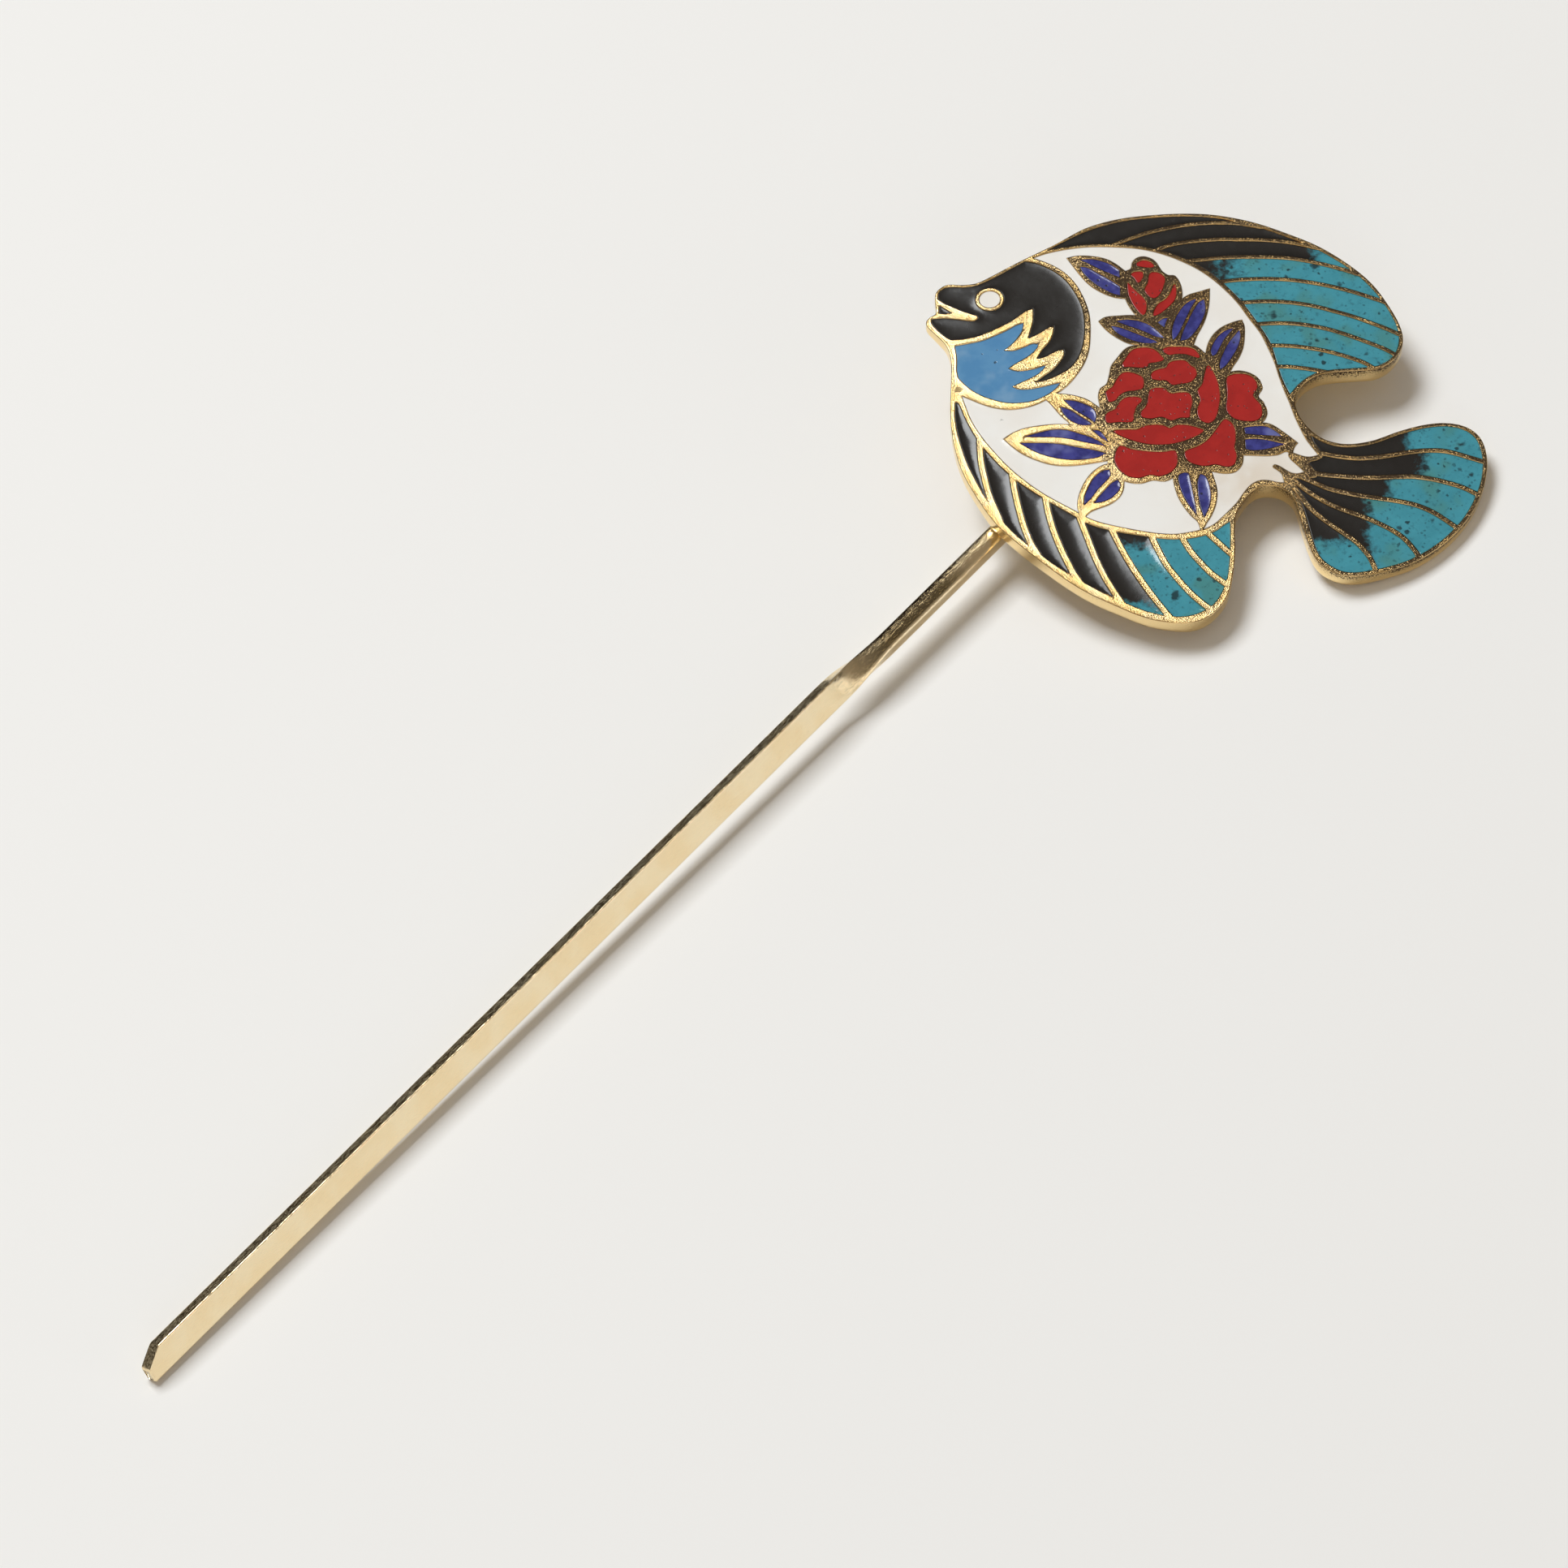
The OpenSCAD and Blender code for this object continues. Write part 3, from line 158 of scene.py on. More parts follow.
def smooth_loop(loop, step=OUTLINE_STEP, corner=np.radians(32)):
    """The loop resampled every step along Catmull-Rom spans. A span's end tangent is the chord
    to the points beside it, except at a corner, where the span leaves in its own direction."""
    before, after = np.roll(loop, 1, 0), np.roll(loop, -1, 0)
    into, out = loop - before, after - loop
    turn = np.abs(
        np.arctan2(
            into[:, 0] * out[:, 1] - into[:, 1] * out[:, 0], (into * out).sum(1)
        )
    )
    length = np.linalg.norm(out, axis=1)
    sharp = turn > corner
    unit_in = into / np.linalg.norm(into, axis=1)[:, None]
    unit_out = out / length[:, None]
    mean = unit_in + unit_out
    mean /= np.linalg.norm(mean, axis=1)[:, None] + 1e-9
    leave = np.where(sharp[:, None], unit_out, mean) * length[:, None]
    arrive_dir = np.where(
        np.roll(sharp, -1)[:, None], unit_out, np.roll(mean, -1, 0)
    )
    arrive = arrive_dir * length[:, None]
    count = np.maximum(1, np.round(length / step)).astype(int)
    span = np.repeat(np.arange(len(loop)), count)
    t = (np.arange(count.sum()) - np.repeat(np.cumsum(count) - count, count)) / np.repeat(
        count, count
    )
    t = t[:, None]
    h00, h10 = 2 * t**3 - 3 * t**2 + 1, t**3 - 2 * t**2 + t
    h01, h11 = 3 * t**2 - 2 * t**3, t**3 - t**2
    return (
        h00 * loop[span] + h10 * leave[span] + h01 * after[span] + h11 * arrive[span]
    )


def side_normals(loop):
    """Unit normals of a closed loop at its points, to the right of its direction."""
    along = np.roll(loop, -1, 0) - np.roll(loop, 1, 0)
    along /= np.linalg.norm(along, axis=1)[:, None] + 1e-12
    return np.stack([along[:, 1], -along[:, 0]], 1)


class Outlines:
    """All the outlines as one set of segments, to measure distances from."""

    def __init__(self, loops):
        self.start = np.concatenate(loops).astype(np.float32)
        self.end = np.concatenate([np.roll(q, -1, 0) for q in loops]).astype(np.float32)
        sizes = [len(q) for q in loops]
        first = np.repeat(np.cumsum(sizes) - sizes, sizes)
        place = np.arange(len(self.start))
        self.before = first + (place - first - 1) % np.repeat(sizes, sizes)

    def distance(self, p):
        """Distance from each point to the outlines: the nearest outline point is found in
        blocks, then the two segments that meet there are measured exactly."""
        p = p.astype(np.float32)
        out = np.empty(len(p), np.float32)
        for k in range(0, len(p), 4000):
            q = p[k : k + 4000]
            gap = (
                (q**2).sum(1)[:, None]
                - 2 * q @ self.start.T
                + (self.start**2).sum(1)[None]
            )
            near = np.argmin(gap, axis=1)
            both = [self._to_segment(q, near), self._to_segment(q, self.before[near])]
            out[k : k + 4000] = np.minimum(*both)
        return out

    def _to_segment(self, q, i):
        a, d = self.start[i], self.end[i] - self.start[i]
        t = np.clip(((q - a) * d).sum(1) / ((d**2).sum(1) + 1e-12), 0, 1)
        return np.linalg.norm(q - a - t[:, None] * d, axis=1)


def triangulate(loops, extra):
    """Delaunay triangles over the loops and loose points. Returns the points, the triangles
    and a table that says which loops each triangle lies in."""
    sizes = [len(q) for q in loops]
    first = np.cumsum(sizes) - sizes
    points = np.concatenate([*loops, extra]) if len(extra) else np.concatenate(loops)
    faces = [list(range(f, f + n)) for f, n in zip(first.tolist(), sizes)]
    made = delaunay_2d_cdt(list(map(Vector, points.tolist())), [], faces, 0, 1e-5, True)
    verts = np.array([*map(tuple, made[0])])
    tri = np.array(made[2])
    inside = np.zeros((len(tri), len(loops)), bool)
    counts = np.fromiter(map(len, made[5]), int)
    inside[
        np.repeat(np.arange(len(tri)), counts),
        np.fromiter(chain.from_iterable(made[5]), int),
    ] = True
    a, b, c = verts[tri[:, 0]], verts[tri[:, 1]], verts[tri[:, 2]]
    turned = (b - a)[:, 0] * (c - a)[:, 1] - (b - a)[:, 1] * (c - a)[:, 0] < 0
    tri[turned] = tri[turned][:, ::-1]
    return verts, tri, inside


def boundary_edges(tri):
    """Directed edges of a set of triangles that no neighbour shares."""
    edges = np.concatenate([tri[:, [0, 1]], tri[:, [1, 2]], tri[:, [2, 0]]])
    n = tri.max() + 1
    keep = ~np.isin(edges[:, 0] * n + edges[:, 1], edges[:, 1] * n + edges[:, 0])
    return edges[keep]


def ease(low, high, x):
    """Smooth step from 0 at low to 1 at high."""
    t = np.clip((x - low) / (high - low), 0, 1)
    return t * t * (3 - 2 * t)


# ---- Meshes ----------------------------------------------------------------------------------


def new_piece(name, verts, faces, attributes, smooth=True):
    """A mesh object from points in mm and triangles or quads, riding on the pin's one body."""
    mesh = bpy.data.meshes.new(name)
    mesh.from_pydata((verts * MM).tolist(), [], faces)
    mesh.polygons.foreach_set("use_smooth", np.ones(len(mesh.polygons), bool) & smooth)
    for label, values in attributes.items():
        layer = mesh.attributes.new(label, "FLOAT", "POINT")
        layer.data.foreach_set("value", values.astype(np.float32))
    mesh.update()
    piece = bpy.data.objects.new(name, mesh)
    bpy.context.scene.collection.objects.link(piece)
    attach(piece, "root")
    return piece


def used_only(faces):
    """The numbers of the points that the faces use, and the faces renumbered to match."""
    used, at = np.unique(faces, return_inverse=True)
    return used, at.reshape(faces.shape)


def at_height(p, z):
    """Plan points put at one height, or each at its own."""
    return np.column_stack([p, np.broadcast_to(z, len(p))])


def tube_faces(rings, around, start=0, flip=False):
    """Faces of a tube of closed rings of points: quads along it and a cap at each end."""
    i, j = np.meshgrid(np.arange(rings - 1), np.arange(around), indexing="ij")
    beside = (j + 1) % around
    corners = (
        i * around + j, i * around + beside, (i + 1) * around + beside, (i + 1) * around + j,
    )
    order = -1 if flip else 1
    quads = (np.stack(corners, -1).reshape(-1, 4) + start)[:, ::order]
    ring = np.arange(around) + start
    caps = [ring[::order], ring[::-order] + (rings - 1) * around]
    return quads.tolist() + [cap.tolist() for cap in caps]


# ---- The plan of the fish ----------------------------------------------------------------------


def leftward(loop):
    """The loop, turned round if it runs clockwise."""
    return loop if signed_area(loop) > 0 else loop[::-1]


def largest(loops):
    """The loop that encloses the most."""
    return max(loops, key=lambda q: abs(signed_area(q)))


def cell_outlines():
    """The smoothed outlines of every enamel cell, the node each belongs to, and whether it is a
    hole in its cell: a hole runs the other way round from the cell's largest outline."""
    loops, nodes, holes = [], [], []
    for node in ENAMEL_OF:
        found = plan_loops(node, Z_FLOOR)
        outer_sign = np.sign(signed_area(largest(found)))
        for loop in found:
            holes.append(np.sign(signed_area(loop)) != outer_sign)
            loops.append(smooth_loop(leftward(loop)))
            nodes.append(node)
    return loops, np.array(nodes), np.array(holes)


def fish_outline():
    """The smoothed outline of the plate, drawn in a little."""
    loop = smooth_loop(leftward(largest(plan_loops("fish_plate", Z_BACK))), RIM_STEP)
    return loop - RIM_INSET * side_normals(loop)


def ring_points():
    """Points at set distances on both sides of every outline, less those that come too near to
    another one. Outside the fish's own outline there are none."""
    points, reach = [], []
    for loop, hole in zip(all_loops, [*is_hole, True]):
        out = side_normals(loop)
        toward_wall, toward_cell = (-out, out) if hole else (out, -out)
        points += [loop + toward_wall * d for d in WALL_RINGS]
        reach += [np.full(len(loop), d) for d in WALL_RINGS]
        if loop is not fish_loop:
            points += [loop + toward_cell * d for d in CELL_RINGS]
            reach += [np.full(len(loop), d) for d in CELL_RINGS]
    points, reach = np.concatenate(points), np.concatenate(reach)
    return points[outlines.distance(points) > RING_CLEAR * reach]


def inner_points():
    """A triangular grid over the fish, kept off the outlines."""
    low, high = fish_loop.min(0), fish_loop.max(0)
    across = np.arange(low[0], high[0], INNER_STEP)
    up = np.arange(low[1], high[1], INNER_STEP * 0.87)
    grid = np.stack(np.meshgrid(across, up), -1)
    grid[1::2, :, 0] += INNER_STEP / 2
    grid = grid.reshape(-1, 2)
    return grid[outlines.distance(grid) > INNER_CLEAR]


def cell_masks():
    """For each node, the triangles in its cells. The head's cell leaves out the eye."""
    cells, in_hole = inside[:, :-1], inside[:, :-1][:, is_hole].any(1)
    masks = {node: cells[:, (cell_nodes == node) & ~is_hole].any(1) for node in ENAMEL_OF}
    masks["head_enamel"] &= ~in_hole
    return masks


cell_loops, cell_nodes, is_hole = cell_outlines()
fish_loop = fish_outline()
all_loops = [*cell_loops, fish_loop]
outlines = Outlines(all_loops)
plan, triangles, inside = triangulate(all_loops, np.concatenate([ring_points(), inner_points()]))
depth = outlines.distance(plan)
in_cell = cell_masks()
wall = triangles[inside[:, -1] & ~np.any(list(in_cell.values()), axis=0)]


# ---- The struck plate --------------------------------------------------------------------------

# The rim's side below its shoulder: how far in, and how high above the back
RIM_PROFILE = ((0.0, 0.5), (0.005, 0.36), (0.025, 0.24), (0.07, 0.13), (0.14, 0.05), (0.24, 0.0))


def wall_height(p, d):
    """Top of a struck wall: the dome, less an elliptical shoulder at the edge and a shallow
    hollow along the middle."""
    s = np.clip(1 - d / SHOULDER_WIDTH, 0, 1)
    shoulder = SHOULDER_DROP * (1 - np.sqrt(1 - s**2))
    return dome(p) - shoulder - GROOVE_DEPTH * ease(GROOVE_FROM, GROOVE_TO, d)


def on_fish_outline(p):
    """True for the points that lie on the fish's own outline."""
    return Outlines([fish_loop]).distance(p) < SAME_PLACE


class Patches:
    """The points, edge distances, triangles and quads of a mesh put together from patches."""

    def __init__(self):
        self.points, self.edge_mm, self.triangles, self.quads = [], [], [], []

    def add(self, points, edge_mm):
        """Adds points, and returns the number of the first."""
        first = sum(len(p) for p in self.points)
        self.points.append(points)
        self.edge_mm.append(np.broadcast_to(edge_mm, len(points)))
        return first


def wall_tops(shell):
    """The tops of all the walls and the rim. Returns their plan points and triangles."""
    used, faces = used_only(wall)
    p, d = plan[used], depth[used]
    shell.add(at_height(p, wall_height(p, d)), d)
    shell.triangles.append(faces)
    return p, faces


def pocket_sides(shell, p, top_faces):
    """Quads from each inner edge of the wall tops down to the pockets' floor."""
    edges = boundary_edges(top_faces)
    on_rim = on_fish_outline(p)
    pocket = edges[~(on_rim[edges[:, 0]] & on_rim[edges[:, 1]])]
    ids, at = np.unique(pocket, return_inverse=True)
    low = at.reshape(-1, 2) + shell.add(at_height(p[ids], Z_FLOOR), 0.0)
    shell.quads.append(np.column_stack([pocket[:, 1], pocket[:, 0], low[:, 0], low[:, 1]]))


def pocket_floors(shell):
    """The flat floors of all the cells, without the raised ring round the eye."""
    floor_plan, faces, floor_in = triangulate(all_loops, np.zeros((0, 2)))
    cells = floor_in[:, :-1]
    eye_ring = cells[:, is_hole].any(1) & ~cells[:, cell_nodes == "eye_enamel"].any(1)
    used, faces = used_only(faces[(cells & ~is_hole).any(1) & ~eye_ring])
    shell.triangles.append(faces + shell.add(at_height(floor_plan[used], Z_FLOOR), 0.0))


def rim_side(shell):
    """Rings of the rim's profile carried round the fish's outline, with an inset that wanders as
    if filed by hand. Returns the lowest ring's plan points."""
    n = len(fish_loop)
    inward = -side_normals(fish_loop)
    turn = np.linspace(0, 2 * np.pi, n, endpoint=False)
    filed = (
        1
        + 0.25 * np.sin(9 * turn + 0.6)
        + 0.18 * np.sin(23 * turn + 2.1)
        + 0.12 * np.sin(41 * turn)
    )
    first = shell.add(at_height(fish_loop, dome(fish_loop) - SHOULDER_DROP), PLAIN_EDGE)
    for inset, height in RIM_PROFILE:
        ring = fish_loop + inward * (inset * filed)[:, None]
        shell.add(at_height(ring, Z_BACK + height), PLAIN_EDGE)
    i = np.arange(n)
    j = (i + 1) % n
    shell.quads += [
        np.column_stack([i + k * n, i + (k + 1) * n, j + (k + 1) * n, j + k * n]) + first
        for k in range(len(RIM_PROFILE))
    ]
    return ring


def flat_back(shell, outline):
    """The flat back, inside the lowest ring of the rim's side."""
    back_plan, faces, back_in = triangulate([outline], np.zeros((0, 2)))
    first = shell.add(at_height(back_plan, Z_BACK), PLAIN_EDGE)
    shell.triangles.append(faces[back_in[:, 0]][:, ::-1] + first)


def struck_plate():
    """Closed mesh of the plate: wall tops, pocket sides and floors, the rim's rounded side and
    the flat back."""
    shell = Patches()
    pocket_sides(shell, *wall_tops(shell))
    pocket_floors(shell)
    flat_back(shell, rim_side(shell))
    verts, edge_mm = np.concatenate(shell.points), np.concatenate(shell.edge_mm)
    faces = np.concatenate(shell.triangles).tolist() + np.concatenate(shell.quads).tolist()
    return new_piece("struck_plate", verts, faces, {"edge_mm": edge_mm, "tarnish_and_shade": tarnish_and_shade(verts)})


def tarnish_and_shade(verts):
    """Darkening of the struck face from 0 at the belly side to 1 towards the back and tail. Its
    rise across the fish is painted shade for the reflections that dim towards the back, the mouth
    and the gill's zigzag are kept lighter as a painted highlight, and real tarnish is deepest in
    the rose and its sprays. The sides and the back have none."""
    ab = to_fish(verts[:, :2])
    a, b = ab[:, 0], ab[:, 1]
    # real tarnish, deepest in the rose and its sprays
    rose = np.exp(-(((a + 1.4) / 6.0) ** 2 + ((b - 0.2) / 6.3) ** 2) ** 2)
    sprays = np.exp(-(((a + 2.0) / 5.5) ** 2 + ((b - 8.5) / 5.0) ** 2) ** 2)
    # painted highlight: lighter round the mouth and the gill's zigzag
    mouth = np.exp(-(((a + 15) / 5.0) ** 2 + ((b - 5.5) / 5.0) ** 2))
    # painted shade: darker towards the back and tail, for the reflections that dim across the fish
    painted_shade_slope = ease(-11, 7, 0.85 * a + 0.55 * b)
    total = 0.24 + painted_shade_slope * 0.7 + 0.5 * rose + 0.3 * sprays - 0.12 * mouth
    on_face = verts[:, 2] > dome(verts[:, :2]) - SHOULDER_DROP - 0.002
    return np.clip(total, 0.05, 1) * on_face


# ---- Enamel ------------------------------------------------------------------------------------

# How far the enamel has sunk in the middle of its cell, in mm, and over what distance from the wall
SINK = {
    "black_enamel": (0.075, 0.32),
    "white_enamel": (0.03, 0.30),
    "red_enamel": (0.035, 0.30),
    "cobalt_enamel": (0.06, 0.25),
    "sky_enamel": (0.04, 0.35),
    "teal_enamel": (0.05, 0.35),
}

# Where a fin's enamel turns from black to teal: (weight of a, weight of b, offset) give the
# distance in mm past the change.
TEAL_FROM = {
    "dorsal_cell_3": (1, 0, -7.7),
    "dorsal_cell_4": (0.35, 0, -0.7),
    "tail_cell_1": (1, 0, -13.3),
    "tail_cell_2": (1, 0, -14.1),
    "tail_cell_3": (1, 0, -11.9),
    "tail_cell_4": (1, 0, -10.5),
    "tail_cell_5": (1, 0, -10.4),
    "tail_cell_6": (0.1, -1, -10.6),
    "belly_cell_4": (-0.3, -1, -11.5),
    "belly_cell_5": (0, -1, -14.5),
}


def past_change(node, ab):
    """Distance in mm past the change from black to teal; far either side for a plain cell."""
    if node in TEAL_FROM:
        wa, wb, offset = TEAL_FROM[node]
        return wa * ab[:, 0] + wb * ab[:, 1] + offset
    plain = 9.0 if ENAMEL_OF[node] == "teal_enamel" else -9.0
    return np.full(len(ab), plain)


def stain(ab):
    """Beige cast of the white at the tail's root, from 0 to 1."""
    return np.exp(-(((ab[:, 0] - 3.0) / 3.4) ** 2) - ((ab[:, 1] + 5.0) / 2.8) ** 2)


BELLY_SLOTS = {f"belly_cell_{k}" for k in range(4, 10)}
SLOT_SINK = (0.13, 0.36)


def enamel_piece(node, seed):
    """Closed block of enamel: its face sinks from the wall as sink * (1 - exp(-d / reach)),
    with a slow undulation, and its sides go down to the pocket's floor."""
    slot = ENAMEL_OF[node]
    sink, reach = SLOT_SINK if node in BELLY_SLOTS else SINK[slot]
    used, top = used_only(triangles[in_cell[node]])
    p, d = plan[used], depth[used]
    ab = to_fish(p)
    swell = 0.006 * np.sin(1.7 * ab[:, 0] + seed) * np.sin(1.3 * ab[:, 1] + 2 * seed)
    z = dome(p) - ENAMEL_DROP - sink * (1 - np.exp(-d / reach)) + swell * ease(0, 0.5, d)
    n = len(p)
    verts = np.concatenate([at_height(p, z), at_height(p, Z_FLOOR)])
    edges = boundary_edges(top)
    side = np.column_stack([edges[:, 1], edges[:, 0], edges[:, 0] + n, edges[:, 1] + n])
    # the side quads run from the face's edge down; the floor is the face turned over
    faces = top.tolist() + (top[:, ::-1] + n).tolist() + side.tolist()
    attributes = {
        "from_wall_mm": np.concatenate([d, np.zeros(n)]),
        "past_change_mm": np.tile(past_change(node, ab), 2),
        "stain": np.tile(stain(ab), 2),
    }
    piece = new_piece("enamel_" + node, verts, faces, attributes, np.arange(len(faces)) < len(top))
    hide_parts(node)
    return piece


# ---- Stem --------------------------------------------------------------------------------------

STEM_LOW, STEM_HIGH = (corner.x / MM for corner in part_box("stem"))
SHANK_W, SHANK_H = 1.25, 1.15
BLADE_W, BLADE_T = 1.85, 0.85
BLADE_TURN = np.radians(58)
BLADE_SHIFT = 0.2
KINK_FROM, KINK_TO = -16.6, -10.2
SHANK_POWER, BLADE_POWER = 11, 16        # squareness of the two sections
CROWN_RADIUS = 1.1
CROWN_SHARE = 0.92
TIP_CUT, TIP_SLOPE = 1.4, np.tan(np.radians(33))
TIP_LENGTH = 2.0
END_RUN, END_INSET = 0.14, 0.12          # rounding of both ends, along the stem and inwards
STEM_AROUND = 160


def stations():
    """Places along the stem where its section is worked out, closest at the ends."""
    rounding = END_RUN * (1 - np.cos(np.linspace(0, np.pi / 2, 6)))
    stretches = [
        STEM_LOW + rounding,
        np.linspace(STEM_LOW + END_RUN, STEM_LOW + TIP_LENGTH, 24),
        np.linspace(STEM_LOW + TIP_LENGTH, KINK_FROM, 120),
        np.linspace(KINK_FROM, KINK_TO, 80),
        np.linspace(KINK_TO, STEM_HIGH - END_RUN, 80),
        STEM_HIGH - rounding,
    ]
    return np.unique(np.concatenate(stretches))


def stem_surface():
    """Section of two half-widths carried along X. A section point at angle t is a superellipse
    |y/u|^p + |z/v|^p = 1, with a crowned upper side; its size, turn and middle pass from the
    squared wire's to the blade's through the kink, and both ends are rounded over. Returns the
    points and how much painted shade each gets: the squared wire's upper face is painted dark
    as a reflection of a dark room, less so near the fish."""
    x = stations()
    t = np.linspace(0, 2 * np.pi, STEM_AROUND, endpoint=False) + np.pi / STEM_AROUND
    into = 1 - ease(KINK_FROM, KINK_TO, x)[:, None]
    u = (SHANK_W + (BLADE_W - SHANK_W) * into) / 2
    v = (SHANK_H + (BLADE_T - SHANK_H) * into) / 2
    power = SHANK_POWER + (BLADE_POWER - SHANK_POWER) * into
    c, s = np.cos(t)[None], np.sin(t)[None]
    scale = (np.abs(c) ** power + np.abs(s) ** power) ** (-1 / power)
    y, z = u * c * scale, v * s * scale
    crown = CROWN_RADIUS - np.sqrt(CROWN_RADIUS**2 - np.minimum(np.abs(y), 0.7) ** 2)
    z = np.where(z > 0, z * (1 - (CROWN_SHARE * crown / v) * (1 - into)), z)
    end = np.minimum(x - STEM_LOW, STEM_HIGH - x)[:, None]
    over = END_INSET * (1 - np.sqrt(1 - np.clip(1 - end / END_RUN, 0, 1) ** 2))
    y, z = y * (1 - over / u), z * (1 - over / v)
    from_tip = (x - STEM_LOW)[:, None]
    y = np.minimum(y, u - np.clip(TIP_CUT - from_tip, 0, None) * TIP_SLOPE - over)
    turn = BLADE_TURN * into
    yy = y * np.cos(turn) - z * np.sin(turn) + BLADE_SHIFT * into
    zz = y * np.sin(turn) + z * np.cos(turn)
    verts = np.stack([np.broadcast_to(x[:, None], yy.shape), yy, zz], -1)
    # painted shade: the squared wire's upper face is darkened as a reflection of a dark room, less
    # so near the fish, whose reflection is brighter
    face = ease(0.05, 0.3, z) * ease(-0.56, -0.38, y)
    tarnish_and_shade_amount = (1 - into) * (0.85 - 0.6 * ease(-5.5, -2.0, x)[:, None]) * face
    return verts, tarnish_and_shade_amount


def stem_piece():
    """The wire and blade: a tube of the stem surface's rings, capped at both ends."""
    verts, tarnish_and_shade_amount = stem_surface()
    faces = tube_faces(*tarnish_and_shade_amount.shape, flip=True)
    piece = new_piece("stem_wire", verts.reshape(-1, 3), faces, {"tarnish_and_shade": tarnish_and_shade_amount.ravel()})
    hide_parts("stem")
    return piece


def solder_fillets():
    """Solder along both sides of the wire under the plate: a concave quarter-arc section whose
    size swells and thins along X and runs out to nothing at both ends."""
    low, high = (corner.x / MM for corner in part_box("solder_joint"))
    x = np.linspace(low - 0.4, high, 120)
    t = np.linspace(0, np.pi / 2, 9)
    run = np.clip(np.minimum((x - x[0]) / 2.2, (x[-1] - x) / 2.5), 0, 1)
    size = 0.55 * np.sqrt(run) * (0.85 + 0.1 * np.sin(1.9 * x) + 0.05 * np.sin(5.3 * x + 1))
    size = np.maximum(size, 0.01)[:, None]
    # the section's arc, closed by one point inside the wire and the plate
    y = SHANK_W / 2 - 0.06 + size * (1 - np.sin(t))[None]
    z = Z_BACK - size * (1 - np.cos(t))[None]
    y = np.concatenate([y, np.full((len(x), 1), SHANK_W / 2 - 0.3)], 1)
    z = np.concatenate([z, np.full((len(x), 1), Z_BACK + 0.05)], 1)
    along = np.broadcast_to(x[:, None], y.shape)
    verts = np.concatenate([np.stack([along, side * y, z], -1).reshape(-1, 3) for side in (-1, 1)])
    faces = tube_faces(*y.shape) + tube_faces(*y.shape, start=y.size, flip=True)
    attributes = {
        "edge_mm": np.full(len(verts), PLAIN_EDGE),
        # the solder is darkened by one fixed amount all along
        "tarnish_and_shade": np.full(len(verts), 0.3),
    }
    piece = new_piece("solder_fillets", verts, faces, attributes)
    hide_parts("solder_joint")
    return piece


# ---- Materials ---------------------------------------------------------------------------------


class Nodes:
    """Short ways to add and join shader nodes in one tree."""

    def __init__(self, tree):
        self.tree = tree

    def add(self, kind, **values):
        node = self.tree.nodes.new(kind)
        for key, value in values.items():
            setattr(node, key, value)
        return node

    def feed(self, node, **inputs):
        for key, value in inputs.items():
            socket = node.inputs[int(key[1:]) if key[1:].isdigit() else key.replace("_", " ")]
            if isinstance(value, bpy.types.NodeSocket):
                self.tree.links.new(value, socket)
            else:
                socket.default_value = value
        return node

    def math(self, operation, a, b=0.0, c=0.0, clamp=False):
        node = self.add("ShaderNodeMath", operation=operation, use_clamp=clamp)
        return self.feed(node, i0=a, i1=b, i2=c).outputs[0]

    def mix(self, factor, a, b, kind="MIX"):
        node = self.add("ShaderNodeMix", data_type="RGBA", blend_type=kind)
        return self.feed(node, i0=factor, i6=a, i7=b).outputs[2]

    def ramp(self, value, low, high, to_low=0.0, to_high=1.0):
        node = self.add("ShaderNodeMapRange", interpolation_type="SMOOTHSTEP")
        return self.feed(node, i0=value, i1=low, i2=high, i3=to_low, i4=to_high).outputs[0]

    def noise(self, coords, size_mm, detail=2.0, rough=0.5, warp=0.0):
        node = self.add("ShaderNodeTexNoise")
        self.feed(
            node, Vector=coords, Scale=1 / (size_mm * MM), Detail=detail, Roughness=rough,
            Distortion=warp,
        )
        return node.outputs["Fac"]

    def attribute(self, name):
        return self.add("ShaderNodeAttribute", attribute_name=name).outputs["Fac"]

    def here(self):
        return self.add("ShaderNodeTexCoord").outputs["Object"]


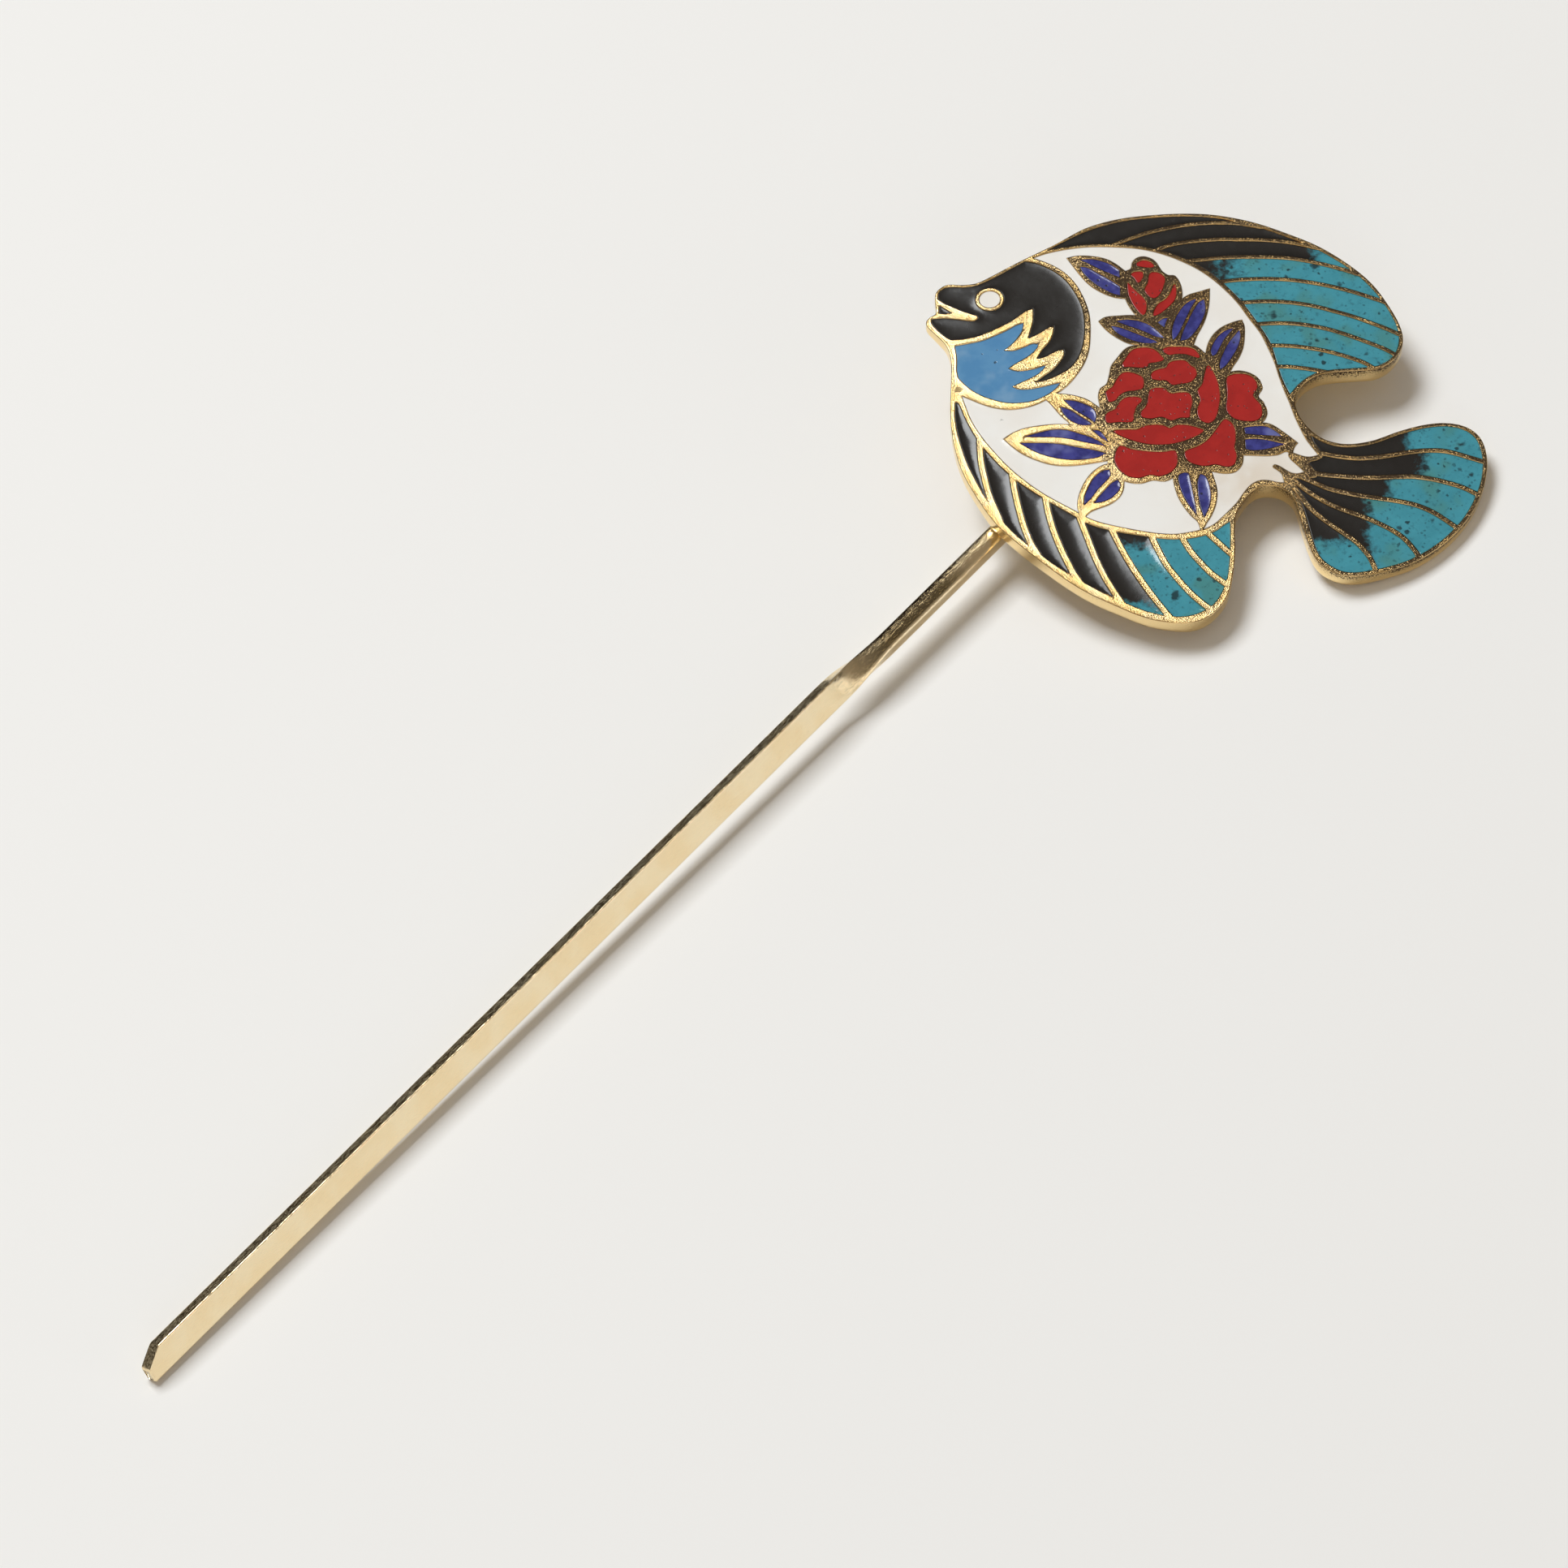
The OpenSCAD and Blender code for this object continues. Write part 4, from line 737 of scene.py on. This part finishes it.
def speck_group():
    """Fine pits and specks: a mask, 1 in a pit, from round cells whose own random value picks
    how many of them hold a pit, with ragged edges."""
    tree = bpy.data.node_groups.new("pit_specks", "ShaderNodeTree")
    face = tree.interface
    for name, kind in (
        ("Vector", "NodeSocketVector"), ("Size", "NodeSocketFloat"),
        ("Share", "NodeSocketFloat"), ("Radius", "NodeSocketFloat"),
    ):
        face.new_socket(name, in_out="INPUT", socket_type=kind)
    face.new_socket("Mask", in_out="OUTPUT", socket_type="NodeSocketFloat")
    n = Nodes(tree)
    inp, out = n.add("NodeGroupInput"), n.add("NodeGroupOutput")
    scale = n.math("DIVIDE", 1.0, n.math("MULTIPLY", inp.outputs["Size"], MM))
    ragged = n.add("ShaderNodeTexNoise")
    n.feed(ragged, Vector=inp.outputs["Vector"], Scale=n.math("MULTIPLY", scale, 3.0), Detail=2.0)
    voronoi = n.add("ShaderNodeTexVoronoi")
    n.feed(voronoi, Vector=inp.outputs["Vector"], Scale=scale)
    pick = n.add("ShaderNodeSeparateColor")
    n.feed(pick, Color=voronoi.outputs["Color"])
    chosen = n.math("LESS_THAN", pick.outputs[0], inp.outputs["Share"])
    radius = n.math("MULTIPLY", inp.outputs["Radius"], n.math("ADD", 0.5, pick.outputs[1]))
    far = n.math(
        "ADD",
        voronoi.outputs["Distance"],
        n.math("MULTIPLY", n.math("SUBTRACT", ragged.outputs["Fac"], 0.5), 0.5),
    )
    gap = n.math("DIVIDE", n.math("SUBTRACT", radius, far), 0.12, clamp=True)
    n.feed(out, Mask=n.math("MULTIPLY", gap, chosen))
    return tree


PIT_SPECKS = speck_group()


def specks(n, coords, size, share, radius):
    """The group's mask of pits, for a size of cell in mm, a share of cells and a pit radius."""
    node = n.add("ShaderNodeGroup", node_tree=PIT_SPECKS)
    return n.feed(node, Vector=coords, Size=size, Share=share, Radius=radius).outputs["Mask"]


def start_material(name):
    """A new material, the helper for its nodes, and its Principled shader."""
    material = bpy.data.materials.new(name)
    material.use_nodes = True
    n = Nodes(material.node_tree)
    shader = material.node_tree.nodes["Principled BSDF"]
    return material, n, shader


def gilt_material():
    """Gilding over brass. A wall's edges stay bright, and its middle is granular and dark as far as
    its darkening attribute says, which is real tarnish in the rose and painted shade rising
    towards the back and tail; the plate's unstruck faces get a paler gold as a painted highlight;
    the grain also dents the surface."""
    material, n, shader = start_material("gilt")
    here = n.here()
    edge, tarnish_and_shade_amount = n.attribute("edge_mm"), n.attribute("tarnish_and_shade")
    struck = n.math("LESS_THAN", edge, PLAIN_EDGE - 0.01)
    middle = n.ramp(edge, 0.03, 0.085)
    grain = n.noise(here, 0.09, 3.0, 0.6)
    fine = n.noise(here, 0.04, 2.0, 0.5)
    patches = n.noise(here, 1.3, 2.0, 0.5)
    amount = n.math("MULTIPLY", tarnish_and_shade_amount, n.math("MULTIPLY_ADD", middle, 0.85, 0.35))
    cut = n.math("SUBTRACT", 0.66, n.math("MULTIPLY", amount, 0.24))
    level = n.math("MULTIPLY_ADD", n.math("SUBTRACT", patches, 0.5), 0.30, grain)
    tarnish = n.math("DIVIDE", n.math("SUBTRACT", level, cut), 0.08, clamp=True)
    # the dark grain spreads with the darkening attribute: real tarnish in the rose, painted shade
    # towards the back and tail
    tarnish = n.math("MULTIPLY", tarnish, n.math("MULTIPLY", tarnish_and_shade_amount, 2.4, clamp=True))
    gold = n.mix(n.ramp(patches, 0.35, 0.65), (0.90, 0.61, 0.25, 1), (0.95, 0.71, 0.37, 1))
    # painted highlight: the unstruck sides, back and solder take a paler, brighter gold, standing
    # in for the bright floor they reflect
    gold = n.mix(struck, (1.0, 0.77, 0.39, 1), gold)
    # painted shade and real tarnish: a browner, darker gold where the darkening attribute is high
    gold = n.mix(n.math("MULTIPLY", tarnish_and_shade_amount, 0.55), gold, (0.36, 0.225, 0.095, 1))
    dark = n.mix(fine, (0.014, 0.008, 0.004, 1), (0.115, 0.066, 0.027, 1))
    n.feed(
        shader,
        Base_Color=n.mix(tarnish, gold, dark),
        Metallic=n.math("MULTIPLY_ADD", tarnish, -0.3, 1.0),
        Roughness=n.math(
            "MULTIPLY_ADD", tarnish, 0.35, n.math("MULTIPLY_ADD", fine, 0.16, 0.08)
        ),
    )
    rough_part = n.math("MULTIPLY", struck, n.math("MULTIPLY_ADD", middle, 0.8, 0.2))
    rough_part = n.math("MULTIPLY", rough_part, n.math("MULTIPLY_ADD", tarnish_and_shade_amount, 0.7, 0.3))
    lift = n.math(
        "MULTIPLY",
        n.math("MULTIPLY_ADD", fine, 0.35, grain),
        n.math("MULTIPLY_ADD", rough_part, 1.0, 0.02),
    )
    bump = n.add("ShaderNodeBump")
    n.feed(bump, Strength=1.0, Distance=0.065 * MM, Height=lift)
    n.feed(shader, Normal=bump.outputs["Normal"])
    return material


def wire_material():
    """Smooth gilt wire, in a paler gold than the plate's as a painted highlight of its bright
    faces. Where its attribute says, it is painted dark as a reflection of a dark room, with fine
    brighter scratches along it.
    """
    material, n, shader = start_material("gilt_wire")
    here, tarnish_and_shade_amount = n.here(), n.attribute("tarnish_and_shade")
    stretch = n.add("ShaderNodeMapping")
    n.feed(stretch, Vector=here, Scale=(0.12, 1.0, 1.0))
    scratch = n.ramp(n.noise(stretch.outputs[0], 0.05, 3.0, 0.65), 0.52, 0.70)
    speck = n.ramp(n.noise(here, 0.07, 2.0, 0.6), 0.58, 0.72)
    bright = n.math("MAXIMUM", scratch, speck)
    patches = n.noise(here, 2.5, 2.0, 0.5)
    # painted highlight: a paler gold than the plate's, for the bright surroundings the wire's faces
    # reflect
    gold = n.mix(n.ramp(patches, 0.35, 0.65), (0.97, 0.78, 0.48, 1), (0.99, 0.83, 0.55, 1))
    # painted shade: the dark reflection on the wire's upper face, broken by fine scratches and
    # specks
    dark = n.mix(bright, (0.055, 0.035, 0.013, 1), (0.50, 0.36, 0.16, 1))
    n.feed(
        shader,
        Base_Color=n.mix(tarnish_and_shade_amount, gold, dark),
        Metallic=1.0,
        Roughness=n.math("MULTIPLY_ADD", scratch, 0.12, 0.13),
    )
    bump = n.add("ShaderNodeBump")
    n.feed(bump, Strength=0.25, Distance=0.012 * MM, Height=n.math("ADD", scratch, speck))
    n.feed(shader, Normal=bump.outputs["Normal"])
    return material


def enamel_finish(n, shader, color, here, from_wall, pits=None, wave=0.02, haze=0.0):
    """The face of fired enamel: glossy and faintly uneven, with painted shade darkening it next to
    the wall.
    """
    # painted shade of the recess along the wall, down to 0.55 at the wall
    painted_wall_shade = n.ramp(from_wall, 0.0, 0.07, 0.55, 1.0)
    shade = n.add("ShaderNodeCombineColor")
    n.feed(shade, Red=painted_wall_shade, Green=painted_wall_shade, Blue=painted_wall_shade)
    color = n.mix(1.0, color, shade.outputs[0], "MULTIPLY")
    if pits is not None:
        color = n.mix(pits, color, (0.012, 0.014, 0.014, 1))
    n.feed(
        shader,
        Base_Color=color,
        Roughness=n.math("ADD", n.math("MULTIPLY_ADD", n.noise(here, 1.4, 2.0), 0.08, 0.07), haze),
        IOR=1.52,
    )
    height = n.math("MULTIPLY_ADD", n.noise(here, 0.25, 1.0), 0.25, n.noise(here, 0.8, 1.0))
    if pits is not None:
        height = n.math("SUBTRACT", height, n.math("MULTIPLY", pits, 0.8))
    bump = n.add("ShaderNodeBump")
    n.feed(bump, Strength=0.5, Distance=wave * MM, Height=height)
    n.feed(shader, Normal=bump.outputs["Normal"])


def fin_material(name):
    """Fin enamel: black that breaks up into teal past the change, with dark pits in the teal."""
    material, n, shader = start_material(name)
    here, from_wall = n.here(), n.attribute("from_wall_mm")
    past = n.attribute("past_change_mm")
    ragged = n.math(
        "MULTIPLY_ADD",
        n.math("SUBTRACT", n.noise(here, 0.7, 4.0, 0.65), 0.5),
        2.4,
        past,
    )
    share = n.ramp(ragged, -0.45, 0.55)
    clouds = n.noise(here, 1.1, 3.0, 0.55)
    teal = n.mix(clouds, (0.036, 0.240, 0.315, 1), (0.068, 0.355, 0.445, 1))
    teal = n.mix(n.ramp(n.noise(here, 2.6, 2.0), 0.50, 0.68), teal, (0.062, 0.262, 0.275, 1))
    crowd = n.ramp(n.noise(here, 2.2, 2.0), 0.38, 0.6, 0.45, 1.0)
    small = n.math("MULTIPLY", specks(n, here, 0.55, 0.36, 0.25), crowd)
    large = specks(n, here, 1.5, 0.34, 0.19)
    dust = n.math("MULTIPLY", specks(n, here, 0.26, 0.26, 0.3), 0.5)
    pits = n.math("MAXIMUM", n.math("MAXIMUM", small, large), dust)
    mottle = n.ramp(n.noise(here, 0.32, 3.0, 0.6), 0.52, 0.75)
    pits = n.math("MAXIMUM", pits, n.math("MULTIPLY", mottle, 0.36))
    teal = n.mix(n.math("MULTIPLY", pits, 0.90), teal, (0.006, 0.026, 0.034, 1))
    smoke = n.mix(n.noise(here, 0.5, 3.0), (0.006, 0.005, 0.004, 1), (0.012, 0.010, 0.009, 1))
    haze = n.math("MULTIPLY_ADD", share, -0.16, 0.16)
    enamel_finish(n, shader, n.mix(share, smoke, teal), here, from_wall, haze=haze)
    return material


def plain_enamel(name, light, deep, cloud_mm, pit_share=0.0, pit_mm=0.4, edge_light=None):
    """Enamel of one colour with clouds between two tones, pits, and for some a paler flush. The
    white is also stained beige at the tail's root."""
    material, n, shader = start_material(name)
    here, from_wall = n.here(), n.attribute("from_wall_mm")
    color = n.mix(n.ramp(n.noise(here, cloud_mm, 3.0, 0.55), 0.35, 0.65), deep, light)
    if edge_light is not None:
        flush = n.ramp(n.noise(here, 1.6, 2.0), 0.5, 0.72)
        color = n.mix(n.math("MULTIPLY", flush, 0.8), color, edge_light)
    if name == "white_enamel":
        blotch = n.ramp(n.noise(here, 2.0, 2.0), 0.3, 0.6, 0.3, 0.7)
        cast = n.math("MULTIPLY", n.attribute("stain"), blotch)
        color = n.mix(cast, color, (0.74, 0.63, 0.50, 1))
    pits = None
    if pit_share:
        pits = n.math("MULTIPLY", specks(n, here, pit_mm, pit_share, 0.24), 0.75)
    enamel_finish(n, shader, color, here, from_wall, pits)
    return material


GILT = gilt_material()
ENAMELS = {
    "black_enamel": fin_material("black_enamel"),
    "teal_enamel": fin_material("teal_enamel"),
    "white_enamel": plain_enamel(
        "white_enamel", (0.93, 0.925, 0.90, 1), (0.90, 0.875, 0.83, 1), 5.0, 0.035, 0.7
    ),
    "red_enamel": plain_enamel(
        "red_enamel", (0.42, 0.016, 0.014, 1), (0.37, 0.013, 0.012, 1), 1.0, 0.34, 0.26
    ),
    "cobalt_enamel": plain_enamel(
        "cobalt_enamel", (0.048, 0.052, 0.27, 1), (0.026, 0.028, 0.17, 1), 0.6, 0.1, 0.35,
        edge_light=(0.15, 0.17, 0.42, 1),
    ),
    "sky_enamel": plain_enamel(
        "sky_enamel", (0.105, 0.29, 0.52, 1), (0.082, 0.255, 0.49, 1), 1.2, 0.06, 0.4,
        edge_light=(0.19, 0.36, 0.56, 1),
    ),
}


# ---- Put together ------------------------------------------------------------------------------

plate = struck_plate()
plate.data.materials.append(GILT)
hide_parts("fish_plate")
for seed, node in enumerate(ENAMEL_OF):
    enamel_piece(node, seed).data.materials.append(ENAMELS[ENAMEL_OF[node]])
stem_piece().data.materials.append(wire_material())
solder_fillets().data.materials.append(GILT)


# ---- Table, light and camera -------------------------------------------------------------------

TABLE_REACH = 0.42
TABLE_DROP = 2.563 * MM                  # below the stem's axis, where x and y are nought
TABLE_SLOPE = (-0.0194, -0.154)          # rise along x and along y
CAMERA_RISE = np.radians(58)
CAMERA_AIM = (-26.804, -28.04, 1.95)     # in the fish's plan, in mm
CAMERA_DISTANCE = 0.48
CAMERA_LENS = 176.8
SENSOR_WIDTH = 36


def table():
    """A pale table top, tilted a little because the pin lies on its blade's tip and its tail."""
    x = TABLE_REACH * np.array([-1, 1, 1, -1])
    y = TABLE_REACH * np.array([-1, -1, 1, 1])
    z = TABLE_SLOPE[0] * x + TABLE_SLOPE[1] * y - TABLE_DROP
    mesh = bpy.data.meshes.new("table_top")
    mesh.from_pydata(np.column_stack([x, y, z]).tolist(), [], [[0, 1, 2, 3]])
    top = bpy.data.objects.new("table_top", mesh)
    bpy.context.scene.collection.objects.link(top)
    material, n, shader = start_material("pale_card")
    n.feed(shader, Base_Color=(0.88, 0.875, 0.865, 1), Roughness=0.6)
    mesh.materials.append(material)


def soft_box(name, direction, distance, width, power, color=(1, 1, 1)):
    """A square area light that faces the fish from a direction in the fish's plan."""
    light = bpy.data.lights.new(name, "AREA")
    light.size, light.energy, light.color = width, power, color
    lamp = bpy.data.objects.new(name, light)
    toward = from_fish(*direction).normalized()
    lamp.location = toward * distance
    lamp.rotation_mode = "QUATERNION"
    lamp.rotation_quaternion = toward.to_track_quat("Z", "Y")
    bpy.context.scene.collection.objects.link(lamp)


def camera():
    """The camera looks down on the plate, with the fish's length level."""
    along, across, height = CAMERA_AIM
    aim = from_fish(along - FISH_AT[0], across - FISH_AT[1], height) * MM
    back = from_fish(0, -np.cos(CAMERA_RISE), np.sin(CAMERA_RISE))
    right = from_fish(1, 0, 0)
    up = back.cross(right)
    data = bpy.data.cameras.new("camera")
    data.lens, data.sensor_width = CAMERA_LENS, SENSOR_WIDTH
    data.clip_start, data.clip_end = 0.01, 20
    eye = bpy.data.objects.new("camera", data)
    turn = Matrix((right, up, back)).transposed().to_4x4()
    eye.matrix_world = Matrix.Translation(aim + back * CAMERA_DISTANCE) @ turn
    bpy.context.scene.collection.objects.link(eye)
    bpy.context.scene.camera = eye


def studio_world():
    """Dim room light, brighter overhead, and dark low down behind the fish's back."""
    world = bpy.data.worlds.new("studio")
    world.use_nodes = True
    n = Nodes(world.node_tree)
    background = world.node_tree.nodes["Background"]
    toward = n.add("ShaderNodeTexCoord").outputs["Generated"]
    height = n.feed(n.add("ShaderNodeSeparateXYZ"), Vector=toward).outputs[2]
    dot = n.add("ShaderNodeVectorMath", operation="DOT_PRODUCT")
    behind = n.feed(dot, i0=toward, i1=from_fish(0.25, 0.97, 0)).outputs["Value"]
    horizon = n.math("MULTIPLY", n.ramp(behind, -0.3, 0.35), 0.40)
    sky = n.ramp(n.math("SUBTRACT", height, horizon), -0.08, 0.32, 0.03, 0.33)
    n.feed(background, Color=(1, 0.895, 0.77, 1), Strength=sky)
    bpy.context.scene.world = world


table()
camera()
studio_world()
soft_box("key", (-0.44, 0.45, 0.77), 1.6, 0.75, 20.6, (0.955, 0.985, 1.0))
soft_box("front_card", (0.05, -0.86, 0.5), 1.2, 0.55, 1.1)
soft_box("side_fill", (1.0, -0.35, 0.35), 1.4, 0.6, 1.0)
bpy.context.scene.view_settings.view_transform = "Standard"
